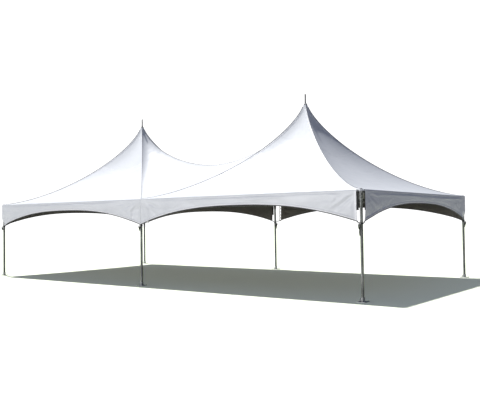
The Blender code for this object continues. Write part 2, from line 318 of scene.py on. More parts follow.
class Growth(Graph):
    """A geometry tree with named inputs, which grows one plain mesh from a source mesh at a time."""

    kinds = {float: "NodeSocketFloat", int: "NodeSocketInt"}

    def __init__(self, name: str, **sizes: float | int) -> None:
        """Start the tree.

        Args:
            name: The tree's name.
            sizes: Its inputs and what they are unless a call to grow says otherwise.
        """
        super().__init__(bpy.data.node_groups.new(name, "GeometryNodeTree"))
        face = self.tree.interface
        face.new_socket("Geometry", in_out="INPUT", socket_type="NodeSocketGeometry")
        face.new_socket("Geometry", in_out="OUTPUT", socket_type="NodeSocketGeometry")
        self.sizes = sizes
        kinds = {label: self.kinds[type(size)] for label, size in sizes.items()}
        kinds["material"] = "NodeSocketMaterial"
        self.identifiers = {label: face.new_socket(label, in_out="INPUT", socket_type=kind).identifier
                            for label, kind in kinds.items()}
        self.entry = self.add("NodeGroupInput")

    def given(self, label: str) -> NodeSocket:
        """An input's socket inside the tree."""
        return self.entry.outputs[label]

    def named(self, name: str, kind: str = "FLOAT") -> Node:
        """The values that are stored under a name."""
        return self.add("GeometryNodeInputNamedAttribute", {"data_type": kind}, {"Name": name})

    def stored(self, geometry: Node, name: str, value: Node | NodeSocket, kind: str = "FLOAT",
               domain: str = "POINT") -> Node:
        """Geometry with a value stored under a name.

        Args:
            geometry: What it is stored on.
            name: The attribute's name.
            value: The value.
            kind: The attribute's data type.
            domain: What each value belongs to.

        Returns:
            The node.
        """
        return self.add("GeometryNodeStoreNamedAttribute", {"data_type": kind, "domain": domain},
                        {"Geometry": geometry, "Name": name, "Value": value})

    def line(self) -> Node:
        """The source's edges as curves."""
        return self.add("GeometryNodeMeshToCurve", {}, {"Mesh": self.given("Geometry")})

    def ring(self, radius: float | NodeSocket, points: int | NodeSocket) -> Node:
        """A round curve."""
        return self.add("GeometryNodeCurvePrimitiveCircle", {}, {"Radius": radius, "Resolution": points})

    def smoothed(self, geometry: Node) -> Node:
        """Geometry that is shaded smooth."""
        return self.add("GeometryNodeSetShadeSmooth", {}, {"Geometry": geometry})

    def swept(self, curve: Node, profile: Node) -> Node:
        """A smooth cord: a profile swept along a curve."""
        cord = self.add("GeometryNodeCurveToMesh", {}, {"Curve": curve, "Profile Curve": profile})
        return self.smoothed(cord)

    def moved(self, geometry: Node, **sockets: NodeSocket | Node | Point) -> Node:
        """Geometry that is moved or stretched."""
        return self.add("GeometryNodeTransform", {}, {"Geometry": geometry, **sockets})

    def upright(self, way: Node | NodeSocket, **sockets: Node) -> Node:
        """A turn that brings +Z to a direction."""
        return self.add("FunctionNodeAlignRotationToVector", {"axis": "Z"}, {"Vector": way, **sockets})

    def set_out(self, item: Node, turn: Node, points: Node | None = None) -> None:
        """Close the tree with one item on each point.

        Args:
            item: What stands on the points.
            turn: Its turn.
            points: The points; the source's own where none are given.
        """
        where = self.given("Geometry") if points is None else points
        self.end(self.add("GeometryNodeInstanceOnPoints", {},
                          {"Points": where, "Instance": item, "Rotation": turn}))

    def end(self, geometry: Node) -> None:
        """Close the tree: its instances become real, and it gets its material."""
        real = self.add("GeometryNodeRealizeInstances", {}, {0: geometry})
        dressed = self.add("GeometryNodeSetMaterial", {},
                           {"Geometry": real, "Material": self.given("material")})
        self.add("NodeGroupOutput", {}, {0: dressed})

    def grow(self, source: Mesh, material: Material, **sizes: float | int) -> Mesh:
        """Run the tree on a source mesh.

        Args:
            source: The mesh that it starts from.
            material: What the result is made of.
            sizes: Inputs that differ from their usual values.

        Returns:
            The grown mesh.
        """
        item = bpy.data.objects.new("source", source)
        bpy.context.scene.collection.objects.link(item)
        modifier = item.modifiers.new("growth", "NODES")
        modifier.node_group = self.tree
        for label, size in {**self.sizes, **sizes}.items():
            modifier[self.identifiers[label]] = size
        modifier[self.identifiers["material"]] = material
        graph = bpy.context.evaluated_depsgraph_get()
        mesh = bpy.data.meshes.new_from_object(item.evaluated_get(graph))
        bpy.data.objects.remove(item)
        bpy.data.meshes.remove(source)
        return mesh


def line_mesh(paths: Iterable[Sequence[Point]]) -> Mesh:
    """Bare edges along one or more paths, for a tree to follow."""
    corners, edges = [], []
    for path in paths:
        first = len(corners)
        corners.extend(tuple(point) for point in path)
        edges.extend((first + step, first + step + 1) for step in range(len(path) - 1))
    mesh = bpy.data.meshes.new("paths")
    mesh.from_pydata(corners, edges, [])
    return mesh


def point_mesh(places: Sequence[tuple[Point, Point]]) -> Mesh:
    """Bare points that each face a way, for a tree to put hardware on.

    Args:
        places: Each point and the direction that it faces.

    Returns:
        The mesh, with the directions in the attribute "facing".
    """
    mesh = bpy.data.meshes.new("places")
    mesh.from_pydata([tuple(point) for point, _ in places], [], [])
    facing = mesh.attributes.new("facing", "FLOAT_VECTOR", "POINT")
    for index, (_, way) in enumerate(places):
        facing.data[index].vector = way
    return mesh


class Growths:
    """The geometry trees for what repeats: edge cords, stitches, bolts, loops and eyelets."""

    def __init__(self) -> None:
        """Build the trees."""
        self.cord = self.cord_tree()
        self.stitches = self.stitch_tree()
        self.bolts = self.bolt_tree()
        self.loops = self.loop_tree()
        self.eyelets = self.eyelet_tree()

    @staticmethod
    def cord_tree() -> Growth:
        """A round cord along each path, with its layout for a woven finish."""
        tree = Growth("edge_cord", radius=0.005, sides=8)
        lines = ((tree.line(), "along"), (tree.ring(tree.given("radius"), tree.given("sides")), "around"))
        path, ring = (tree.stored(line, name, tree.add("GeometryNodeSplineParameter").outputs["Length"])
                      for line, name in lines)
        body = tree.add("GeometryNodeCurveToMesh", {},
                        {"Curve": path, "Profile Curve": ring, "Fill Caps": True})
        both = tree.add("ShaderNodeCombineXYZ", {}, {0: tree.named("around"), 1: tree.named("along")})
        tree.end(tree.smoothed(tree.stored(body, "cut", both, "FLOAT2", "CORNER")))
        return tree

    @staticmethod
    def stitch_tree() -> Growth:
        """Short thread stitches in a row along each path."""
        tree = Growth("stitch_row", pitch=0.012, length=0.0075, radius=0.0009)
        points = tree.add("GeometryNodeCurveToPoints", {"mode": "LENGTH"},
                          {"Curve": tree.line(), "Length": tree.given("pitch")})
        thread = tree.add("GeometryNodeMeshCylinder", {"fill_type": "NGON"},
                          {"Vertices": 5, "Radius": tree.given("radius"), "Depth": tree.given("length")})
        tree.set_out(thread, tree.upright(points.outputs["Tangent"]), points)
        return tree

    @staticmethod
    def bolt_tree() -> Growth:
        """A hexagonal head on a washer at each point, turned a little differently each time."""
        tree = Growth("bolt_heads", width=0.0075, height=0.0055, washer=0.0105, seed=4)
        head = {"Vertices": 6, "Radius": tree.given("width"), "Depth": tree.given("height")}
        dome = {"Vertices": 12, "Radius Top": 0.0030, "Radius Bottom": 0.0062, "Depth": 0.0014}
        washer = {"Vertices": 20, "Radius": tree.given("washer"), "Depth": 0.0018}
        whole = tree.add("GeometryNodeJoinGeometry")
        shapes = (("Cylinder", 0.0042, head), ("Cone", 0.0068, dome), ("Cylinder", 0.0, washer))
        for shape, up, sizes in shapes:
            solid = tree.add(f"GeometryNodeMesh{shape}", {"fill_type": "NGON"}, sizes)
            lifted = tree.moved(solid, Translation=(0.0, 0.0, up))
            tree.tree.links.new(lifted.outputs[0], whole.inputs[0])
        spin = tree.add("FunctionNodeRandomValue", {"data_type": "FLOAT"},
                        {"Min": 0.0, "Max": math.tau, "Seed": tree.given("seed")})
        about = tree.add("FunctionNodeAxisAngleToRotation", {}, {"Axis": (0.0, 0.0, 1.0)})
        tree.tree.links.new(next(out for out in spin.outputs if out.enabled and out.type == "VALUE"),
                            about.inputs["Angle"])
        tree.set_out(whole, tree.upright(tree.named("facing", "FLOAT_VECTOR"), Rotation=about))
        return tree

    @staticmethod
    def loop_tree() -> Growth:
        """A slack cord loop at each point, with its long way down and a small random turn and size."""
        tree = Growth("lacing_loops", length=0.056, width=0.048, radius=0.0100, seed=7)
        size = tree.add("ShaderNodeCombineXYZ", {}, {0: tree.given("length"), 1: tree.given("width"), 2: 1.0})
        oval = tree.moved(tree.ring(1.0, 18), Scale=size)
        cord = tree.swept(oval, tree.ring(tree.given("radius"), 6))
        turn = tree.upright(tree.named("facing", "FLOAT_VECTOR"))
        wobble = tree.add("FunctionNodeRandomValue", {"data_type": "FLOAT_VECTOR"},
                          {"Seed": tree.given("seed")})
        vectors = [socket for socket in wobble.inputs if socket.type == "VECTOR"]
        for name, most in (("Min", (-0.30, -0.45, -0.6)), ("Max", (0.30, 0.45, 0.6))):
            limit = next(socket for socket in vectors if socket.name == name)
            limit.default_value = most
        jitter = tree.add("FunctionNodeEulerToRotation")
        tree.tree.links.new(next(out for out in wobble.outputs if out.type == "VECTOR"), jitter.inputs[0])
        turned = tree.add("FunctionNodeRotateRotation", {"rotation_space": "LOCAL"}, {0: turn, 1: jitter})
        tree.set_out(cord, turned)
        return tree

    @staticmethod
    def eyelet_tree() -> Growth:
        """A rolled metal ring at each point."""
        tree = Growth("eyelets", size=0.0085, roll=0.0024)
        rolled = tree.swept(tree.ring(tree.given("size"), 16), tree.ring(tree.given("roll"), 6))
        tree.set_out(rolled, tree.upright(tree.named("facing", "FLOAT_VECTOR")))
        return tree


# Finishes


class Grain(Enum):
    """The way that a drawn tube's fine lines run."""

    UPRIGHT = (60.0, 60.0, 1.2)
    LENGTHWISE = (1.2, 60.0, 60.0)
    CROSSWISE = (60.0, 1.2, 60.0)


@dataclass(frozen=True)
class CoatedVinyl:
    """Vinyl on a polyester scrim: smooth and slightly glossy, with soft handling creases and faint dust;
    where asked, painted shade darkens its doubled crown piece.
    """

    name: str
    colour: Colour
    dust_and_shade_tint: Colour
    roughness: float = 0.42
    crease: float = 0.006
    weave: float = 0.00016
    pitch: float = 0.0016
    shaded_crown_to: float = 0.0
    crown_shade_share: float = 0.25

    def make(self) -> Material:
        """Build the material."""
        paint = Paint(self.name)
        cloudy = paint.cloud(paint.place(), 0.9, 4.0, 0.55)
        streaks = paint.cloud(paint.cut((0.8, 5.0, 1.0)), 1.3, 3.0, 0.5, 0.4)
        specks = paint.cloud(paint.place(), 38.0, 2.0, 0.6)
        dust = paint.level(cloudy * 0.55 + streaks * 0.3 + specks * 0.15, 0.42, 0.68)
        colour = paint.blend(dust * 0.55, self.colour, self.dust_and_shade_tint)
        # Painted shade: the colour over the doubled crown piece is darkened, standing in for the shade that
        # the thicker cloth shows on the slopes away from the sun.
        if self.shaded_crown_to:
            level, _, _ = paint.parts(paint.cut(layer="zone"))
            doubled = 1.0 - level.over(self.shaded_crown_to)
            colour = paint.blend(doubled * self.crown_shade_share, colour, self.dust_and_shade_tint)
        across, along, _ = paint.parts(paint.cut())
        thread = math.tau / self.pitch
        weave = ((across * thread).sine() * (along * thread).sine()) * 0.5 + 0.5
        folds = paint.cloud(paint.cut((1.0, 2.2, 1.0)), 2.4, 3.0, 0.45, 0.8)
        fine = paint.cloud(paint.place(), 11.0, 2.0, 0.5, 0.5)
        normal = paint.relief(folds, self.crease * 2.0)
        normal = paint.relief(fine, self.crease * 0.10, normal)
        normal = paint.relief(weave, self.weave, normal, 0.6)
        rough = self.roughness + (streaks - 0.5) * 0.16 + dust * 0.08
        return paint.finish({"Base Color": colour, "Roughness": rough, "Normal": normal, "Coat Weight": 0.06,
                             "Coat Roughness": 0.35, "Sheen Weight": 0.03})


@dataclass(frozen=True)
class DrawnTube:
    """Mill-finish aluminium tube, with fine drawing lines, dull patches and small scratches; its base colour
    is darker than bare aluminium, as painted shade.
    """

    name: str
    grain: Grain
    # Far darker than bare aluminium: painted shade for legs that stand against the light.
    colour: Colour = (0.140, 0.142, 0.144)
    dull: Colour = (0.078, 0.079, 0.080)

    def make(self) -> Material:
        """Build the material."""
        paint = Paint(self.name)
        lines = paint.cloud(paint.place(self.grain.value), 6.0, 3.0, 0.6)
        patches = paint.cloud(paint.place(), 3.2, 4.0, 0.6, 0.6)
        nicks = paint.cloud(paint.place(self.grain.value), 1.4, 1.0, 0.4)
        worn = paint.level(patches * 0.7 + lines * 0.3, 0.38, 0.66)
        scratch = paint.level(nicks, 0.66, 0.72)
        colour = paint.blend(worn, self.colour, self.dull)
        colour = paint.blend(scratch * 0.5, colour, (0.62, 0.63, 0.64))
        rough = 0.33 + lines * 0.12 + worn * 0.10
        normal = paint.relief(lines, 0.0002)
        normal = paint.relief(patches, 0.0006, normal)
        return paint.finish({"Base Color": colour, "Roughness": rough, "Metallic": 0.95, "Normal": normal})


@dataclass(frozen=True)
class CoatedMetal:
    """Cast, zinc-coated or plated metal: a spangle or sand texture, dull hollows and a few stains."""

    name: str
    colour: Colour
    dull: Colour
    stain: Colour = (0.10, 0.075, 0.055)
    spangle: float = 90.0
    rough: float = 0.42
    sand: float = 0.0006
    stained: float = 0.35
    metallic: float = 0.9

    def make(self) -> Material:
        """Build the material."""
        paint = Paint(self.name)
        cells = paint.add("ShaderNodeTexVoronoi", {"feature": "F1"},
                          {"Vector": paint.place(), "Scale": self.spangle})
        cell = Value(paint, cells.outputs["Distance"])
        shade = paint.cloud(paint.place(), 14.0, 4.0, 0.6)
        sandy = paint.cloud(paint.place(), 420.0, 2.0, 0.7)
        colour = paint.blend(paint.level(cell * 0.4 + shade * 0.6, 0.3, 0.6), self.colour, self.dull)
        stain = paint.level(paint.cloud(paint.place((1, 1, 0.35)), 9.0, 3.0, 0.6, 1.2), 0.60, 0.74)
        colour = paint.blend(stain * self.stained, colour, self.stain)
        normal = paint.relief(sandy, self.sand)
        normal = paint.relief(shade, 0.0010, normal)
        rough = self.rough + (shade - 0.5) * 0.3 + stain * 0.2
        return paint.finish({"Base Color": colour, "Roughness": rough, "Metallic": self.metallic,
                             "Normal": normal})


@dataclass(frozen=True)
class WireRope:
    """Galvanised wire rope: bright strands that wind round it, with painted shade darkening the grooves
    between them.
    """

    name: str
    lay: float = 0.022

    def make(self) -> Material:
        """Build the material; the way along a cable is measured from its mast, in both directions on plan."""
        paint = Paint(self.name)
        x, y, z = paint.parts(paint.place())
        along = abs(abs(x) - PLAN.half) + abs(y)
        strands = ((along * (math.tau / self.lay) + z * 900.0).sine()) * 0.5 + 0.5
        grime = paint.cloud(paint.place(), 7.0, 3.0, 0.6)
        # Painted shade: the grooves between the strands are darkened in the colour.
        colour = paint.blend(paint.level(strands, 0.1, 0.7), (0.07, 0.07, 0.072), (0.46, 0.465, 0.47))
        colour = paint.blend(paint.level(grime, 0.5, 0.75) * 0.6, colour, (0.16, 0.145, 0.13))
        normal = paint.relief(strands, 0.0012)
        return paint.finish({"Base Color": colour, "Roughness": 0.34 + grime * 0.25, "Metallic": 0.95,
                             "Normal": normal})


@dataclass(frozen=True)
class Webbing:
    """Woven tape or cord: a diagonal or ribbed weave that follows the piece's own layout."""

    name: str
    colour: Colour
    worn: Colour
    rib: float = 0.0028
    rough: float = 0.78

    def make(self) -> Material:
        """Build the material."""
        paint = Paint(self.name)
        across, along, _ = paint.parts(paint.cut())
        rib = math.tau / self.rib
        twill = (along * rib + across * (rib * 1.4)).sine() * (across * (rib * 2.2)).sine()
        weave = twill * 0.5 + 0.5
        fuzz = paint.cloud(paint.place(), 240.0, 2.0, 0.6)
        fade = paint.cloud(paint.place(), 6.0, 3.0, 0.6)
        share = paint.level(fade * 0.6 + weave * 0.25 + fuzz * 0.15, 0.4, 0.72)
        colour = paint.blend(share, self.colour, self.worn)
        normal = paint.relief(weave, 0.0006)
        normal = paint.relief(fuzz, 0.0003, normal)
        rough = self.rough + (fuzz - 0.5) * 0.2
        return paint.finish({"Base Color": colour, "Roughness": rough, "Normal": normal,
                             "Sheen Weight": 0.25, "Sheen Roughness": 0.5})


class Finishes:
    """Every finish of the tent, made once."""

    def __init__(self) -> None:
        """Build the materials."""
        white = (0.80, 0.815, 0.83)
        self.cloth = CoatedVinyl("vinyl_outside", white, (0.66, 0.68, 0.70), crease=0.009).make()
        # The roof's doubled crown piece is painted darker: painted shade.
        self.roof = CoatedVinyl("vinyl_roof", white, (0.68, 0.70, 0.72), crease=0.0025,
                                shaded_crown_to=PLAN.crown_piece).make()
        self.seam = CoatedVinyl("vinyl_doubled", (0.83, 0.84, 0.855), (0.72, 0.73, 0.75), 0.36, 0.003).make()
        # The cord along each hip and the ridge is dark grey: a painted shadow line.
        self.shadow_line_piping = Webbing("grey_piping", (0.15, 0.155, 0.165), (0.24, 0.245, 0.25)).make()
        # The inner face is painted dark brown: painted shade for the inside of the tent, whose cloth is
        # really white.
        self.shaded_lining = CoatedVinyl("vinyl_lining", (0.23, 0.215, 0.185), (0.18, 0.165, 0.14), 0.62,
                                  0.008).make()
        # The hem and the open ends' borders are painted lighter than the cloth: a painted highlight.
        self.hem = CoatedVinyl("vinyl_hem", (0.93, 0.935, 0.94), (0.84, 0.85, 0.86), 0.40, 0.004).make()
        self.binding = Webbing("grey_binding", (0.050, 0.052, 0.057), (0.10, 0.103, 0.108)).make()
        self.strip = Webbing("black_hook_tape", (0.010, 0.010, 0.011), (0.030, 0.030, 0.032), 0.0020,
                             0.9).make()
        self.strap = Webbing("black_strap", (0.016, 0.016, 0.018), (0.045, 0.045, 0.046)).make()
        self.lacing = Webbing("cream_lacing", (0.84, 0.79, 0.67), (0.70, 0.64, 0.52), 0.0045).make()
        self.tubes = {grain: DrawnTube(f"drawn_tube_{grain.name.lower()}", grain).make() for grain in Grain}
        # The fittings' dark colour is partly painted shade, for the sleeves under the eave.
        self.fitting = CoatedMetal("cast_fitting", (0.15, 0.152, 0.156), (0.085, 0.086, 0.09)).make()
        self.plate = CoatedMetal("galvanised_plate", (0.40, 0.41, 0.42), (0.24, 0.245, 0.25), spangle=55.0,
                                 rough=0.46, sand=0.0003, stained=0.6).make()
        self.zinc = CoatedMetal("zinc_hardware", (0.62, 0.62, 0.60), (0.40, 0.395, 0.37), spangle=300.0,
                                rough=0.28, sand=0.0001, stained=0.2).make()
        self.dark_steel = CoatedMetal("dark_steel", (0.085, 0.085, 0.09), (0.05, 0.05, 0.052), spangle=260.0,
                                      rough=0.4, sand=0.0002, stained=0.3).make()
        self.ring = CoatedMetal("bright_ring", (0.78, 0.78, 0.77), (0.58, 0.58, 0.56), spangle=300.0,
                                rough=0.3, sand=0.0001, stained=0.15, metallic=0.35).make()
        self.rope = WireRope("wire_rope").make()


# Making pieces


class Shop:
    """Puts finished meshes in the scene as pieces on the tent's one body."""

    @staticmethod
    def piece(name: str, mesh: Mesh, materials: Sequence[Material],
              slot: str) -> Object:
        """Add one piece.

        Args:
            name: The piece's name.
            mesh: Its mesh, in the tent's own metres.
            materials: Its materials, in slot order; none where the mesh already has them.
            slot: A material slot's name; not used.

        Returns:
            The new object.
        """
        mesh.name = name
        item = bpy.data.objects.new(name, mesh)
        bpy.context.scene.collection.objects.link(item)
        if materials:
            chosen = [face.material_index for face in mesh.polygons]
            mesh.materials.clear()
            for material in materials:
                mesh.materials.append(material)
            mesh.polygons.foreach_set("material_index", chosen)
        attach(item, "root")
        LOG.info("%s: %d faces", name, len(mesh.polygons))
        return item

    @staticmethod
    def thicken(item: Object, thickness: float, shaded_lining: int = 0) -> None:
        """Give an open sheet its thickness, inwards from its outer face.

        Args:
            item: The sheet.
            thickness: How thick it is.
            shaded_lining: The offset to the inner face's material, whose dark colour is painted shade.
        """
        solid = item.modifiers.new("thickness", "SOLIDIFY")
        solid.thickness = thickness
        solid.offset = -1.0
        solid.use_even_offset = True
        solid.material_offset = shaded_lining


def turns(count: int) -> list[float]:
    """Equal steps round a circle, in radians."""
    return [math.tau * step / count for step in range(count)]


def grid_mesh(rows: Sequence[Sequence[Point]], layout: Sequence[Sequence[tuple[float, float]]],
              closed: bool = False) -> Mesh:
    """A sheet of quads from rows of points.

    Args:
        rows: The rows, all of one length.
        layout: Each point's place on the flat cloth, in metres.
        closed: True if the last column joins the first.

    Returns:
        The mesh, with its flat places in the layer "cut", shaded smooth.
    """
    width = len(rows[0])
    corners = [point for row in rows for point in row]
    faces = []
    for row in range(len(rows) - 1):
        for column in range(width if closed else width - 1):
            after = (column + 1) % width
            faces.append((row * width + column, row * width + after,
                          (row + 1) * width + after, (row + 1) * width + column))
    mesh = bpy.data.meshes.new("grid")
    mesh.from_pydata(corners, [], faces)
    flat = [place for row in layout for place in row]
    layer = mesh.uv_layers.new(name="cut")
    for loop in mesh.loops:
        layer.data[loop.index].uv = flat[loop.vertex_index]
    mesh.shade_smooth()
    return mesh


def tube_mesh(path: Sequence[Vector], radius: float | Callable[[float], float], sides: int = 10,
              flat: float = 1.0, closed: bool = False, wide: Vector | None = None) -> Mesh:
    """A round or flattened rod along a path, with closed ends.

    Args:
        path: The points along its middle.
        radius: Its radius, or a function of the share of its length.
        sides: How many sides it has.
        flat: Its height as a share of its width.
        closed: True if it is a ring.
        wide: The direction of its greater width, where it isn't round.

    Returns:
        The mesh, with the way round and the way along in the layer "cut".
    """
    points = [Vector(point) for point in path]
    count = len(points)
    size = radius if callable(radius) else (lambda share: radius)
    rows, layout, travelled = [], [], 0.0
    side = None
    for index, point in enumerate(points):
        if closed:
            ahead = points[(index + 1) % count] - points[index - 1]
        else:
            ahead = points[min(index + 1, count - 1)] - points[max(index - 1, 0)]
        ahead.normalize()
        if side is None:
            side = wide.copy() if wide else (Vector((0, 0, 1)) if abs(ahead.z) < 0.9 else Vector((1, 0, 0)))
        side = (wide if wide else side) - ahead * ahead.dot(wide if wide else side)
        side.normalize()
        other = ahead.cross(side)
        reach = size(index / max(1, count - 1))
        travelled += (point - points[index - 1]).length if index else 0.0
        rows.append([point + (side * math.cos(turn) + other * math.sin(turn) * flat) * reach
                     for turn in turns(sides)])
        layout.append([(reach * math.tau * step / sides, travelled) for step in range(sides)])
    if closed:
        rows.append(rows[0])
        layout.append(layout[0])
    mesh = grid_mesh([[tuple(point) for point in row] for row in rows], layout, closed=True)
    return sealed(mesh, sides, 50.0, ring=closed)


def sealed(mesh: Mesh, width: int, sharp: float = 30.0, ring: bool = False, inner: bool = False) -> Mesh:
    """Close a grid that was made in rows, and shade it smooth up to its sharp edges.

    Args:
        mesh: The grid.
        width: How many points each row has.
        sharp: The least angle of a sharp edge, in degrees.
        ring: True if its last row is its first, so that they are welded; else each gets a flat face.
        inner: True if the side between a row's last point and its first is open and is closed too.

    Returns:
        The same mesh, closed.
    """
    builder = bmesh.new()
    builder.from_mesh(mesh)
    builder.verts.ensure_lookup_table()
    corners = builder.verts
    if inner:
        for first in range(0, len(corners) - width, width):
            after = first + width
            builder.faces.new([corners[index] for index in (after - 1, first, after, after + width - 1)])
    if ring:
        bmesh.ops.remove_doubles(builder, verts=corners, dist=1e-6)
    else:
        builder.faces.new(corners[:width])
        builder.faces.new(corners[-width:])
    bmesh.ops.recalc_face_normals(builder, faces=builder.faces)
    builder.to_mesh(mesh)
    builder.free()
    mesh.shade_smooth()
    mesh.set_sharp_from_angle(angle=math.radians(sharp))
    return mesh


def joined(meshes: Iterable[Mesh]) -> Mesh:
    """One mesh of several, which are used up."""
    builder = bmesh.new()
    for mesh in meshes:
        builder.from_mesh(mesh)
        bpy.data.meshes.remove(mesh)
    whole = bpy.data.meshes.new("joined")
    builder.to_mesh(whole)
    builder.free()
    return whole


def smooth(value: float, low: float = 0.0, high: float = 1.0) -> float:
    """How far a value has come from low to high, eased at both ends."""
    share = min(1.0, max(0.0, (value - low) / (high - low)))
    return share * share * (3 - 2 * share)


# The cloth


@dataclass
class Canopy:
    """The swept canopy over both bays: one sheet of cloth with hip seams, crown pieces and a rounded eave."""

    finishes: Finishes
    growths: Growths
    shop: Shop
    crown_reach: float = 0.0115
    fold_reach: float = 1.6
    saddle_share: float = 0.425
    profile_power: float = 0.75
    hip_steepness: float = 1.45
    ridge_steepness: float = 1.80
    panel_sag: float = 0.30
    rings: int = 46
    side_steps: int = 44
    thickness: float = 0.003
    band_width: float = 0.060
    cross_width: float = 0.034
    piping_radius: float = 0.0056

    def profile(self, reach: float, steepness: float) -> float:
        """The fall from 1 at reach 0 to 0 at reach 1: steep at first, then nearly level."""
        return (1 - min(1.0, reach) ** self.profile_power) ** steepness

    def saddle_line(self, across: float) -> float:
        """The height share along the line over the tent's middle, from its ridge (0) to a leg (1)."""
        return self.saddle_share * (1 - across ** 1.3) ** 1.35

    def rise_share(self, along: float, across: float) -> float:
        """The height above the eave as a share of the rise.

        Args:
            along: The place towards the tent's middle, from -1 to 1 with the crown at 0.
            across: The place towards the tent's back, likewise.

        Returns:
            The share.
        """
        across = abs(across)
        reach = max(abs(along), across)
        if reach < 1e-9:
            return 1.0
        lean = min(abs(along), across) / reach
        if along < across:
            sag = self.panel_sag * reach * (1 - reach) * (1 - lean ** 2)
            return self.profile(reach + sag, self.hip_steepness)
        edge = self.saddle_line(lean)
        steepness = self.ridge_steepness + (self.hip_steepness - self.ridge_steepness) * lean
        fanned = edge + (1 - edge) * self.profile(reach, steepness)
        edge = self.saddle_line(across)
        past_hip = (along - across) / max(1 - across, 1e-6)
        level = edge + (self.profile(across, self.hip_steepness) - edge) * self.profile(past_hip,
                                                                                       self.ridge_steepness)
        share = along * along * (3 - 2 * along)
        return fanned + (level - fanned) * share

    def ripple(self, x: float, y: float) -> float:
        """How far the cloth stands above its ideal shape: broad slackness, corner folds and eave puckers."""
        edge = min(PLAN.bay + 0.05 - abs(x), PLAN.half + 0.05 - abs(y))
        calm = smooth(edge, 0.0, 0.35)
        broad = noise.noise((x * 0.75, y * 0.75, 3.0)) * 0.007 + noise.noise((x * 2.1, y * 2.1, 8.0)) * 0.0025
        folds = 0.0
        for _, leg_x, leg_y in PLAN.legs():
            away = math.hypot(x - leg_x, y - leg_y)
            if away < self.fold_reach:
                turn = math.atan2(y - leg_y, x - leg_x)
                ridge = noise.noise((math.cos(turn) * 3.4, math.sin(turn) * 3.4, leg_x + 5 * leg_y))
                folds += ridge * 0.014 * smooth(away, 0.03, 0.28) * (1 - smooth(away, 0.35, self.fold_reach))
        pucker = (noise.noise((x * 3.1, y * 3.1, 21.0)) * 0.006
                  * (1 - smooth(edge, 0.10, 0.45)) * smooth(edge, 0.0, 0.1))
        return broad * calm + folds * smooth(edge, 0.0, 0.12) + pucker

    @staticmethod
    def gather(x: float, y: float) -> float:
        """How far the small gathers along the eave's edge rise or fall."""
        return 0.0045 * noise.noise((x * 6.5, y * 6.5, 2.0)) + 0.0025 * noise.noise((x * 19.0, y * 19.0, 5.0))

    def height(self, x: float, y: float) -> float:
        """The cloth's outer face above a place on the plan."""
        inward = -1.0 if x > 0 else 1.0
        centre = -inward * PLAN.half
        along = (x - centre) * inward / PLAN.half
        across = y / PLAN.half
        reach = max(abs(along), abs(across))
        level = min(1.0, max(0.0, (reach - self.crown_reach) / (1 - self.crown_reach)))
        scale = level / reach if reach > 1e-9 else 0.0
        share = self.rise_share(along * scale, across * scale)
        rise = PLAN.crown_height - PLAN.eave_height
        return PLAN.eave_height + rise * share + self.ripple(x, y) * smooth(level, 0.06, 0.5)

    def spot(self, x: float, y: float, lift: float = 0.0) -> Vector:
        """A point on the cloth, lifted along its normal.

        Args:
            x: Its place on the plan.
            y: Its place on the plan.
            lift: How far above the cloth it is.

        Returns:
            The point.
        """
        point = Vector((x, y, self.height(x, y)))
        if lift:
            step = 0.004
            slope_x = (self.height(x + step, y) - self.height(x - step, y)) / (2 * step)
            slope_y = (self.height(x, y + step) - self.height(x, y - step)) / (2 * step)
            point += Vector((-slope_x, -slope_y, 1.0)).normalized() * lift
        return point

    def outline(self) -> list[tuple[float, float]]:
        """Points round a square of half-width 1, closer at its corners: front, outer end, back, middle."""
        runs = []
        for step in range(self.side_steps):
            share = 2 * step / self.side_steps - 1
            runs.append(0.45 * share + 0.55 * math.sin(share * math.pi / 2))
        return ([(-run, -1.0) for run in runs] + [(-1.0, run) for run in runs]
                + [(run, 1.0) for run in runs] + [(1.0, -run) for run in runs])

    @staticmethod
    def rounded(x: float, y: float, half_x: float, half_y: float, radius: float) -> tuple[float, float]:
        """Bring a point on a rectangle's outline onto its rounded corner."""
        over_x = abs(x) - (half_x - radius)
        over_y = abs(y) - (half_y - radius)
        if over_x <= 0 or over_y <= 0:
            return x, y
        length = math.hypot(over_x, over_y)
        return (math.copysign(half_x - radius + over_x / length * radius, x),
                math.copysign(half_y - radius + over_y / length * radius, y))

    def cloth_mesh(self) -> Mesh:
        """The cloth as rings round each crown, with a rounded eave that turns down over the valances."""
        outline = self.outline()
        middle_side = 3 * self.side_steps
